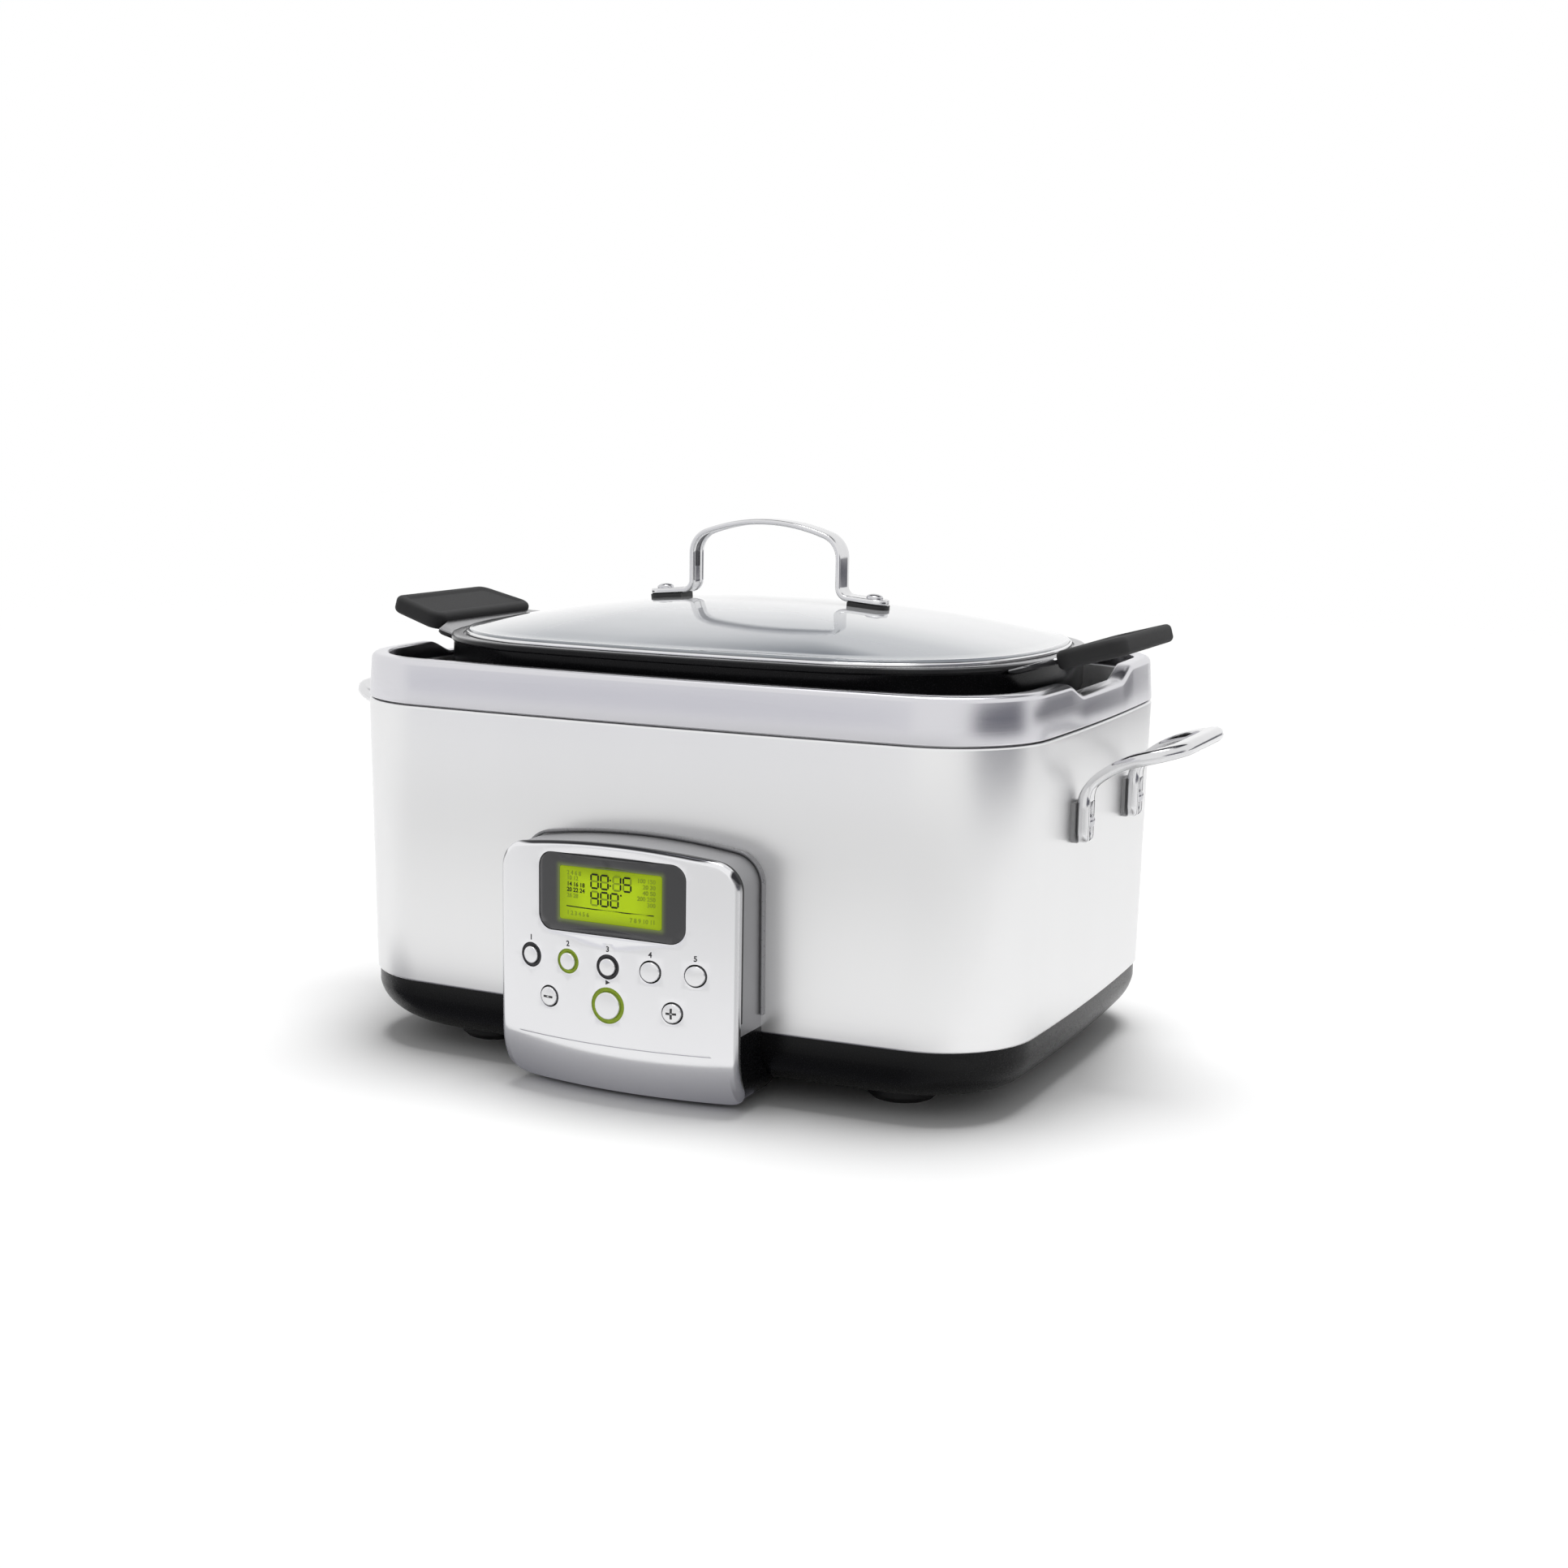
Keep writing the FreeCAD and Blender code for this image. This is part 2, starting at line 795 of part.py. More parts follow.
def dome_form(drop):
    """Dome of the lid's glass with its foot at the brim, lowered by drop for its inside."""
    wires = []
    for step in range(dome_steps + 1):
        share = 1 - (1 - dome_top_share) * step / dome_steps
        height = brim_top - drop + lid_rise * (1 - share ** 2)
        wires.append(pot_outline(drop / 2 - dome_out, height, share))
    return loft(wires, ruled=False)


def make_glass():
    brim = upright(pot_outline(snug_gap - brim_out, brim_bottom), glass_thickness)
    glass = brim.fuse(dome_form(0)).cut(dome_form(glass_thickness))
    for place in lid_rivet_frames():
        hole = rod(rivet_shank + 2 * snug_gap, V(0, 0, -far), V(0, 0, 1), 2 * far)
        hole.Placement = place
        glass = glass.cut(hole)
    return glass.removeSplitter()


def make_lid_rim():
    rim = upright(pot_outline(-rim_out, lid_bottom), lid_rim_height)
    groove = upright(pot_outline(-brim_out, brim_bottom), glass_thickness)
    opening = upright(pot_outline(lid_rim_cover - brim_out, lid_bottom), lid_rim_height)
    return rim.cut(opening).cut(groove)


def lid_rivet_frames():
    """Frames on the dome's surface at the two rivets, with Z along the dome's normal."""
    x = lid_rivet_spacing / 2
    share = x / dome_half_length
    slope = 2 * lid_rise * x / dome_half_length ** 2
    height = brim_top + lid_rise * (1 - share ** 2)
    frames = []
    for side in (1, -1):
        tilt = FreeCAD.Rotation(V(0, 1, 0), side * math.degrees(math.atan(slope)))
        frames.append(FreeCAD.Placement(V(side * x, 0, height), tilt))
    return frames


foot_inner = (lid_leg_spacing - lid_rivet_spacing) / 2
foot_outer = foot_inner + lid_foot_length


def lid_foot(grow, inner, thickness):
    """Plate with a round end, seen from above, pointing out along +X from an inner end."""
    outer = foot_outer + grow
    half = strap_width / 2 + grow
    end = lid_foot_round + grow
    corners = [(inner, -half, 0), (outer, -half, end), (outer, half, end), (inner, half, 0)]
    return upright(rounded_wire(corners, lambda u, v: V(u, v, 0)), thickness)


def side_of(shape, frame, flipped):
    """Copy of a shape drawn for the right-hand rivet, placed on either side of the lid."""
    copy = mirrored_x(shape) if flipped else shape.copy()
    copy.Placement = frame.multiply(copy.Placement)
    return copy


def strap_section(width, depth, edge, at):
    """Section of a strap at the foot of its path: a bar with bevelled edges."""
    u = depth / 2
    v = width / 2
    quarter = [(u - edge, -v), (u, edge - v), (u, v - edge), (u - edge, v)]
    points = quarter + [(-x, -y) for x, y in quarter]
    return Part.makePolygon([at + V(x, y, 0) for x, y in points + points[:1]])


def box_section(width, depth, at):
    u = depth / 2
    v = width / 2
    points = [(-u, -v), (u, -v), (u, v), (-u, v), (-u, -v)]
    return Part.makePolygon([at + V(x, y, 0) for x, y in points])


foot_lift = gasket_thickness + strap_depth


def make_lid_foot(bend_centre, slope):
    """Bend below the right-hand leg and the flat tab that runs out from it along the dome."""
    turn = math.pi / 2 - slope
    tab_end = lid_rivet_frames()[0].multVec(V(foot_outer, 0, gasket_thickness + strap_depth / 2))
    across = V(math.sin(slope), -strap_width / strap_depth, math.cos(slope)) * (strap_depth / 2)

    def on_bend(radius, angle):
        return bend_centre + V(-math.cos(angle), 0, -math.sin(angle)) * radius + V(0, across.y, 0)

    inside = lid_foot_bend - strap_depth / 2
    outside = lid_foot_bend + strap_depth / 2
    top_end = tab_end + across
    low_end = top_end - V(across.x, 0, across.z) * 2
    wire = Part.Wire([
        Part.Arc(on_bend(inside, 0), on_bend(inside, turn / 2), on_bend(inside, turn)).toShape(),
        Part.LineSegment(on_bend(inside, turn), top_end).toShape(),
        Part.LineSegment(top_end, low_end).toShape(),
        Part.LineSegment(low_end, on_bend(outside, turn)).toShape(),
        Part.Arc(on_bend(outside, turn), on_bend(outside, turn / 2), on_bend(outside, 0)).toShape(),
        Part.LineSegment(on_bend(outside, 0), on_bend(inside, 0)).toShape(),
    ])
    foot = prism(wire, V(0, strap_width, 0))
    keep = lid_foot(0, foot_inner - strap_width, 2 * lid_foot_length)
    keep.translate(V(0, 0, -lid_foot_length / 2))
    return foot.common(side_of(keep, lid_rivet_frames()[0], False))


def make_lid_handle():
    leg_x = lid_leg_spacing / 2
    peak_z = brim_top + lid_rise + lid_grip_height - strap_depth / 2
    rivet = lid_rivet_frames()[0]
    slope = math.atan(2 * lid_rise * rivet.Base.x / dome_half_length ** 2)
    tab = rivet.multVec(V(0, 0, gasket_thickness + strap_depth / 2))
    tab_x = leg_x + lid_foot_bend * (1 - math.sin(slope))
    foot_z = tab.z + (tab.x - tab_x) * math.tan(slope) + lid_foot_bend * math.cos(slope)
    bend = lid_grip_bend
    arch = arc_radius(leg_x - bend, lid_grip_arch)
    lean = math.asin((leg_x - bend) / (arch - bend))
    centre = V(leg_x - bend, 0, peak_z - arch + (arch - bend) * math.cos(lean))
    onto_arch = centre + V(math.sin(lean), 0, math.cos(lean)) * bend
    half_way = (math.pi / 2 + lean) / 2
    on_bend = centre + V(math.sin(half_way), 0, math.cos(half_way)) * bend
    foot = V(leg_x, 0, foot_z)
    leg_top = V(leg_x, 0, centre.z)

    def flip(point):
        return V(-point.x, point.y, point.z)

    path = Part.Wire([
        Part.LineSegment(foot, leg_top).toShape(),
        Part.Arc(leg_top, on_bend, onto_arch).toShape(),
        Part.Arc(onto_arch, V(0, 0, peak_z), flip(onto_arch)).toShape(),
        Part.Arc(flip(onto_arch), flip(on_bend), flip(leg_top)).toShape(),
        Part.LineSegment(flip(leg_top), flip(foot)).toShape(),
    ])
    strap = path.makePipeShell([strap_section(strap_width, strap_depth, strap_edge, foot)], True, False)
    inwards = V(-strap_channel_depth, 0, 0)
    channel = box_section(strap_channel_width, strap_depth, foot + inwards)
    strap = strap.cut(path.makePipeShell([channel], True, False))
    right_foot = make_lid_foot(foot + V(lid_foot_bend, 0, 0), slope)
    strap = strap.fuse(right_foot).fuse(mirrored_x(right_foot))
    for frame in lid_rivet_frames():
        hole = rod(rivet_shank + 2 * snug_gap, V(), V(0, 0, 1), lid_grip_height)
        hole.Placement = frame
        strap = strap.cut(hole)
    return strap.removeSplitter()


def make_lid_gaskets():
    gaskets = []
    for index, frame in enumerate(lid_rivet_frames()):
        pad = lid_foot(gasket_border, foot_inner + lid_foot_bend, foot_lift)
        pad.translate(V(0, 0, -strap_depth))
        pad = pad.cut(rod(rivet_shank + 2 * snug_gap, V(0, 0, -far), V(0, 0, 1), 2 * far))
        gaskets.append(side_of(pad, frame, index == 1).cut(dome_form(0)))
    return gaskets


def make_lid_rivets():
    rivets = []
    length = foot_lift + glass_thickness + rivet_washer_thickness + rivet_tail
    for frame in lid_rivet_frames():
        rivet = rivet_crown(rivet_head).fuse(rod(rivet_shank, V(), V(0, 0, -1), length)).removeSplitter()
        rivet.translate(V(0, 0, foot_lift))
        rivet.Placement = frame.multiply(rivet.Placement)
        rivets.append(rivet)
    return rivets


def make_lid_washers():
    washers = []
    top = -glass_thickness - fit_gap
    for frame in lid_rivet_frames():
        disc = rod(rivet_washer, V(0, 0, top), V(0, 0, -1), rivet_washer_thickness)
        disc = disc.cut(rod(rivet_shank + 2 * snug_gap, V(0, 0, -far), V(0, 0, 1), 2 * far))
        disc.Placement = frame
        washers.append(disc)
    return washers


# Side handles

def make_side_handle():
    """Strap of the right-hand handle: two feet, two rising legs and the bar between them."""
    tilt = math.radians(side_handle_tilt)
    out = V(math.cos(tilt), 0, math.sin(tilt))
    x = handle_foot_back + side_strap_depth / 2
    rivet_z = shell_bottom + side_rivet_height
    y = side_rivet_spacing / 2
    turn = math.pi / 2 - tilt
    foot = V(x, -y, rivet_z - side_foot_below)
    bend_start = V(x, -y, rivet_z + side_foot_above)
    bend_centre = bend_start + V(side_leg_bend, 0, 0)

    def on_bend(angle):
        return bend_centre + V(-math.cos(angle), 0, math.sin(angle)) * side_leg_bend

    leg_start = on_bend(turn)
    bar_reach = side_strap_width / 2 * math.cos(tilt) + side_strap_depth / 2 * math.sin(tilt)
    bar_x = end_face + side_handle_reach - bar_reach
    run = (bar_x - leg_start.x) / math.cos(tilt) - side_bar_bend
    leg_end = leg_start + out * run
    bar_start = leg_end + out * side_bar_bend + V(0, side_bar_bend, 0)
    corner = leg_end + out * (side_bar_bend * math.sin(math.pi / 4))
    corner = corner + V(0, side_bar_bend * (1 - math.cos(math.pi / 4)), 0)

    def flip(point):
        return V(point.x, -point.y, point.z)

    path = Part.Wire([
        Part.LineSegment(foot, bend_start).toShape(),
        Part.Arc(bend_start, on_bend(turn / 2), leg_start).toShape(),
        Part.LineSegment(leg_start, leg_end).toShape(),
        Part.Arc(leg_end, corner, bar_start).toShape(),
        Part.LineSegment(bar_start, flip(bar_start)).toShape(),
        Part.Arc(flip(bar_start), flip(corner), flip(leg_end)).toShape(),
        Part.LineSegment(flip(leg_end), flip(leg_start)).toShape(),
        Part.Arc(flip(leg_start), flip(on_bend(turn / 2)), flip(bend_start)).toShape(),
        Part.LineSegment(flip(bend_start), flip(foot)).toShape(),
    ])
    section = strap_section(side_strap_width, side_strap_depth, side_strap_edge, foot)
    handle = path.makePipeShell([section], True, False)
    for place in rivet_places():
        handle = handle.cut(neck_hole(place)).cut(foot_corners(place))
    return handle


def side_foot(place, grow, start, length):
    """Bar along X with the front view of a side handle's foot, round at its lower end."""
    low = place.z - side_foot_below - grow
    high = place.z + side_foot_above
    half = side_strap_width / 2 + grow
    round_end = side_foot_round + grow
    corners = [
        (place.y - half, low, round_end),
        (place.y + half, low, round_end),
        (place.y + half, high, 0),
        (place.y - half, high, 0),
    ]
    return prism(rounded_wire(corners, lambda u, v: V(start, u, v)), V(length, 0, 0))


def foot_corners(place):
    """The two lower corners that the round end of a side handle's foot leaves free."""
    half = side_strap_width
    low = place.z - side_foot_below
    ends = (place.y - half, place.y + half, low - side_foot_round, low + side_foot_round)
    return block(end_face, far, *ends).cut(side_foot(place, 0, 0, 2 * far))


def make_side_gaskets():
    gaskets = []
    start = end_face - body_taper - shell_wall
    for place in rivet_places():
        pad = side_foot(place, gasket_border, start, handle_foot_back - start).cut(shell_form())
        gaskets.append(pad.cut(neck_hole(place)))
    return gaskets


def backing_plate_face():
    """Outer face of the plate that lies flat behind the bowed and tapered end wall."""
    low = shell_bottom + side_rivet_height - backing_plate_height / 2
    half = side_rivet_spacing / 2 + backing_plate_overhang
    sag = half ** 2 / (2 * arc_radius(body_depth / 2 - body_corner, short_bow))
    return end_face - taper_at(low) - shell_wall - sag - snug_gap


def make_backing_plate():
    face = backing_plate_face()
    z = shell_bottom + side_rivet_height
    half_height = backing_plate_height / 2
    half = side_rivet_spacing / 2 + backing_plate_overhang
    plate = block(face - backing_plate_wall, face, -half, half, z - half_height, z + half_height)
    for place in rivet_places():
        plate = plate.cut(neck_hole(place))
    return plate


def make_side_rivets():
    rivets = []
    tail = handle_foot_back + side_strap_depth - backing_plate_face() + backing_plate_wall
    for place in rivet_places():
        head = place + V(side_strap_depth, 0, 0)
        crown = rivet_crown(side_rivet_head)
        crown.Placement = FreeCAD.Placement(head, FreeCAD.Rotation(V(0, 0, 1), V(1, 0, 0)))
        length = tail + rivet_tail
        rivets.append(crown.fuse(neck_bar(rivet_neck, head - V(length, 0, 0), length)).removeSplitter())
    return rivets


# Control panel

def fascia_front(x):
    """Y of the fascia's convex face at a distance from its middle."""
    return panel_front + panel_radius - math.sqrt(panel_radius ** 2 - x ** 2)


def panel_form(shift):
    """Solid behind the panel's convex face and its chin, moved back by shift."""
    half = panel_width / 2 + housing_wall
    drop = crease_level - panel_bottom

    def section(z, setback):
        edge = fascia_front(half) + setback + shift
        middle = panel_front + setback + shift
        left = V(-half, edge, z)
        right = V(half, edge, z)
        return Part.Wire([
            Part.Arc(left, V(0, middle, z), right).toShape(),
            Part.LineSegment(right, V(half, 0, z)).toShape(),
            Part.LineSegment(V(half, 0, z), V(-half, 0, z)).toShape(),
            Part.LineSegment(V(-half, 0, z), left).toShape(),
        ])

    wires = []
    full = 1 - math.sqrt(1 - panel_chin_share ** 2)
    for step in range(panel_chin_steps, -1, -1):
        turn = math.asin(panel_chin_share) * step / panel_chin_steps
        setback = panel_chin_setback * (1 - math.cos(turn)) / full
        wires.append(section(crease_level - drop * math.sin(turn) / panel_chin_share, setback))
    face = upright(section(crease_level, 0), shell_bottom + panel_top + housing_wall - crease_level)
    return loft(wires).fuse(face).removeSplitter()


def panel_outline(grow, y):
    """Front view of the panel: upright sides, an arched top and round corners."""
    half = panel_width / 2 + grow
    top = shell_bottom + panel_top + grow
    bottom = panel_bottom - grow
    corner = panel_top_corner + grow
    foot = panel_bottom_corner + grow
    arch = arc_radius(panel_width / 2 - panel_top_corner, panel_arch) + grow
    arch_z = top - arch
    corner_z = arch_z + math.sqrt((arch - corner) ** 2 - (half - corner) ** 2)
    corner_at = V(half - corner, y, corner_z)
    up = V(corner_at - V(0, y, arch_z)).normalize()
    shoulder = V(0, y, arch_z) + up * arch
    corner_middle = corner_at + V(up + V(1, 0, 0)).normalize() * corner
    foot_middle = V(half - foot, y, bottom + foot) + V(1, 0, -1).normalize() * foot

    def flip(point):
        return V(-point.x, y, point.z)

    side = V(half, y, corner_z)
    low = V(half, y, bottom + foot)
    base = V(half - foot, y, bottom)
    return Part.Wire([
        Part.Arc(flip(shoulder), V(0, y, top), shoulder).toShape(),
        Part.Arc(shoulder, corner_middle, side).toShape(),
        Part.LineSegment(side, low).toShape(),
        Part.Arc(low, foot_middle, base).toShape(),
        Part.LineSegment(base, flip(base)).toShape(),
        Part.Arc(flip(base), flip(foot_middle), flip(low)).toShape(),
        Part.LineSegment(flip(low), flip(side)).toShape(),
        Part.Arc(flip(side), flip(corner_middle), flip(shoulder)).toShape(),
    ])


def panel_prism(grow):
    return prism(panel_outline(grow, panel_front - fascia_wall), V(0, -panel_front, 0))


def front_slice(start, thickness):
    """Convex sheet parallel to the panel's face, between two depths behind it."""
    return panel_form(start).cut(panel_form(start + thickness))


def window_prism(grow):
    """Prism of the round-cornered display window, through the fascia."""
    half = window_width / 2 + grow
    low = shell_bottom + window_bottom - grow
    high = shell_bottom + window_top + grow
    corners = [
        (-half, low, window_corner),
        (half, low, window_corner),
        (half, high, window_corner),
        (-half, high, window_corner),
    ]
    start = panel_front - fascia_wall
    return prism(rounded_wire(corners, lambda u, v: V(u, start, v)), V(0, -start, 0))


def lcd_prism(grow, start, depth):
    """Bar of the display glass's outline, grown on all sides, from a start along Y."""
    half = lcd_width / 2 + grow
    low = shell_bottom + lcd_bottom - grow
    high = shell_bottom + lcd_bottom + lcd_height + grow
    return block(-half, half, start, start + depth, low, high)


def button_list():
    """Name, place across, height, cap and light ring of each button; a ring of 0 means none."""
    upper = shell_bottom + button_row_height
    lower = shell_bottom + adjust_row_height
    return [
        ("button_mode_1", -2 * button_pitch, upper, mode_cap, mode_ring),
        ("button_mode_2", -button_pitch, upper, mode_cap, mode_ring),
        ("button_mode_3", 0, upper, mode_cap, mode_ring),
        ("button_time", button_pitch, upper, set_cap, 0),
        ("button_temp", 2 * button_pitch, upper, set_cap, 0),
        ("button_minus", -adjust_pitch, lower, adjust_cap, 0),
        ("button_start", 0, lower, start_cap, start_ring),
        ("button_plus", adjust_pitch, lower, adjust_cap, 0),
    ]


def board_post_places():
    x = panel_width / 2 - board_margin - board_post
    low = shell_bottom + (button_row_height + adjust_row_height) / 2
    high = shell_bottom + panel_top - board_margin - 2 * board_post
    return [V(side * x, board_front, z) for side in (-1, 1) for z in (low, high)]


def square_bar(place, width, length):
    """Square bar along Y with the middle of its front end at a place."""
    half = width / 2
    return block(place.x - half, place.x + half, place.y, place.y + length, place.z - half, place.z + half)


def make_fascia():
    fascia = front_slice(0, fascia_wall).common(panel_prism(0))
    fascia = fascia.cut(window_prism(0))
    for name, x, z, cap, ring in button_list():
        hole = (ring if ring else cap + 2 * running_gap) + 2 * snug_gap
        fascia = fascia.cut(rod(hole, V(x, panel_front - fascia_wall, z), V(0, 1, 0), -panel_front))
    half = crease_length / 2
    line = block(-half, half, -far, 0, crease_level - crease_width / 2, crease_level + crease_width / 2)
    fascia = fascia.cut(front_slice(-fascia_wall, fascia_wall + crease_depth).common(line))
    for place in board_post_places():
        front = V(place.x, fascia_front(place.x) + fascia_wall / 2, place.z)
        fascia = fascia.fuse(square_bar(front, board_post, board_front - front.y))
        fascia = fascia.fuse(square_bar(place, board_pin, board_pin_length))
    return fascia.removeSplitter()


def housing_form():
    return panel_form(fascia_wall).common(panel_prism(-housing_setback))


def make_panel_housing():
    split = shell_bottom + housing_split
    upper = housing_form().cut(block(-far, far, -far, far, 0, split))
    hollow = panel_prism(-housing_setback - housing_wall)
    return upper.cut(shell_form()).cut(hollow)


def make_lower_housing():
    split = shell_bottom + housing_split
    lower = housing_form().cut(block(-far, far, -far, far, split, far))
    back = front_face + under_base_reach
    lower = lower.cut(block(-far, far, back, far, 0, far))
    hollow = panel_form(fascia_wall).common(panel_prism(-housing_setback - housing_wall))
    hollow = hollow.cut(block(-far, far, front_face - housing_wall, far, 0, far))
    return lower.cut(hollow).cut(shell_form(snug_gap)).cut(base_form(snug_gap))


def make_trim():
    start = front_face - trim_proud
    depth = trim_proud + long_bow + body_taper
    outer = prism(panel_outline(trim_border - housing_setback, start), V(0, depth, 0))
    inner = prism(panel_outline(snug_gap - housing_setback, start), V(0, far, 0))
    trim = outer.cut(inner).cut(shell_form())
    return trim.cut(block(-far, far, -far, far, 0, shell_bottom + housing_split))


def make_bezel():
    bezel = front_slice(window_recess, window_frame).common(window_prism(-snug_gap))
    return bezel.cut(lcd_prism(0, panel_front - fascia_wall, far))


lcd_back = fascia_front(lcd_width / 2 + lcd_holder_border) + window_recess + window_frame


def make_lcd():
    start = panel_front - fascia_wall
    pane = lcd_prism(-snug_gap, start, lcd_back + lcd_thickness - start)
    return pane.common(panel_form(lcd_recess))


def make_lcd_holder():
    start = lcd_back + snug_gap
    holder = lcd_prism(lcd_holder_border, start, board_front - start)
    pocket = lcd_prism(0, start, lcd_thickness)
    inside = lcd_prism(-lcd_holder_wall, start, far)
    return holder.cut(pocket).cut(inside)


def make_control_board():
    half = panel_width / 2 - board_margin
    low = shell_bottom + housing_split + housing_wall + fit_gap
    high = shell_bottom + panel_top - board_margin - board_post / 2
    board = block(-half, half, board_front, board_front + board_thickness, low, high)
    for place in board_post_places():
        board = board.cut(square_bar(place, board_pin + 2 * snug_gap, board_thickness))
    return board


switch_front = board_front - switch_height - switch_button_height


def make_switch(x, z):
    body = square_bar(V(x, board_front - switch_height, z), switch_body, switch_height)
    return body.fuse(square_bar(V(x, switch_front, z), switch_button, switch_button_height))


def make_button(x, z, cap, ring):
    """Cap that follows the fascia's curve, with a flange behind it and a stem to its switch."""
    collar = cap / 2 + button_flange
    reach = max(collar, ring / 2)
    flange_y = fascia_front(abs(x) + reach) + fascia_wall + ring_tail + fit_gap
    start = panel_front - fascia_wall
    body = rod(cap, V(x, start, z), V(0, 1, 0), flange_y - start).common(panel_form(-button_proud))
    body = body.fuse(square_bar(V(x, flange_y, z), 2 * collar, button_flange_thickness))
    stem_end = switch_front - button_travel - fit_gap
    return body.fuse(square_bar(V(x, flange_y, z), button_stem, stem_end - flange_y)).removeSplitter()


def make_light_ring(x, z, cap, ring):
    back = fascia_front(abs(x) + ring / 2) + fascia_wall + ring_tail
    start = panel_front - fascia_wall
    tube = rod(ring, V(x, start, z), V(0, 1, 0), back - start)
    tube = tube.cut(rod(cap + 2 * running_gap, V(x, start, z), V(0, 1, 0), far))
    return tube.common(panel_form(ring_recess))


# Cord gland and power board

def gland_place(y):
    return V(gland_from_middle, y, shell_bottom + gland_height)


def make_gland():
    rear = body_depth / 2 + long_bow + gland_proud
    start = rear - gland_proud - gland_depth
    inside = gland_depth / 2
    flange = rod(gland_flange, gland_place(start + inside), V(0, 1, 0), gland_proud + inside)
    flange = flange.cut(shell_form())
    gland = flange.fuse(rod(gland_barrel, gland_place(start), V(0, 1, 0), gland_depth + gland_proud))
    return gland.cut(rod(gland_bore, gland_place(0), V(0, 1, 0), far)).removeSplitter()


power_board_top = base_bottom + base_floor + power_board_standoff + board_thickness


def make_power_board():
    half_length = power_board_length / 2
    half_depth = power_board_depth / 2
    low = power_board_top - board_thickness
    y = power_board_offset
    return block(-half_length, half_length, y - half_depth, y + half_depth, low, power_board_top)


def make_power_parts():
    parts = []
    half_length = relay_length / 2
    half_width = relay_width / 2
    z = power_board_top
    y = power_board_offset
    for index in (-1, 0, 1):
        x0 = index * relay_pitch - half_length
        parts.append(block(x0, x0 + relay_length, y - half_width, y + half_width, z, z + relay_height))
    x = terminal_length / 2
    y = power_board_offset + power_board_depth / 2 - terminal_width
    parts.append(block(-x, x, y - terminal_width / 2, y + terminal_width / 2, z, z + terminal_height))
    return parts


# Write every piece

os.makedirs("parts", exist_ok=True)

emit("base_tray", make_base_tray())
emit("feet", *[make_foot(place) for place in corners_of(foot_x, foot_y, 0)])
emit("outer_shell", make_shell())
emit("top_collar", make_collar())
emit("well_liner", make_liner())
emit("heater_plate", make_heater_plate())
emit("heating_element", element_form(0))
emit("pot_sensor", make_sensor())
emit("sensor_bracket", make_sensor_bracket())
emit("sensor_spring", make_leaf_spring())
emit("heat_shield", make_shield())
emit("liner_standoffs", *[make_standoff(place) for place in corners_of(post_x, post_y, shield_top)])
emit("thermal_fuse", make_fuse())
emit("fuse_clip", make_fuse_clip())
emit("power_board", make_power_board())
emit("power_relays", *make_power_parts())
emit("cord_gland", make_gland())

emit("cooking_pot", make_pot())
right_grip = make_grip()
emit("pot_grip_right", right_grip)
emit("pot_grip_left", mirrored_x(right_grip))

emit("lid_glass", make_glass())
emit("lid_rim", make_lid_rim())
emit("lid_handle", make_lid_handle())
emit("lid_gaskets", *make_lid_gaskets())
emit("lid_rivets", *make_lid_rivets())
emit("lid_washers", *make_lid_washers())

right_handle = make_side_handle()
emit("side_handle_right", right_handle)
emit("side_handle_left", mirrored_x(right_handle))
right_gaskets = make_side_gaskets()
emit("side_handle_gaskets", *right_gaskets, *[mirrored_x(gasket) for gasket in right_gaskets])
right_rivets = make_side_rivets()
emit("side_handle_rivets", *right_rivets, *[mirrored_x(rivet) for rivet in right_rivets])
right_plate = make_backing_plate()
emit("handle_backing_plates", right_plate, mirrored_x(right_plate))

emit("panel_fascia", make_fascia())
emit("panel_housing", make_panel_housing())
emit("panel_lower_housing", make_lower_housing())
emit("panel_trim", make_trim())
emit("display_bezel", make_bezel())
emit("lcd_panel", make_lcd())
emit("lcd_holder", make_lcd_holder())
emit("control_board", make_control_board())
emit("tact_switches", *[make_switch(x, z) for name, x, z, cap, ring in button_list()])
lit = [entry for entry in button_list() if entry[4]]
emit("light_rings", *[make_light_ring(x, z, cap, ring) for name, x, z, cap, ring in lit])
for name, x, z, cap, ring in button_list():
    emit(name, make_button(x, z, cap, ring))
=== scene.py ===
import json
import math

import bmesh
import bpy
from mathutils import Matrix, Vector
from mathutils.geometry import delaunay_2d_cdt


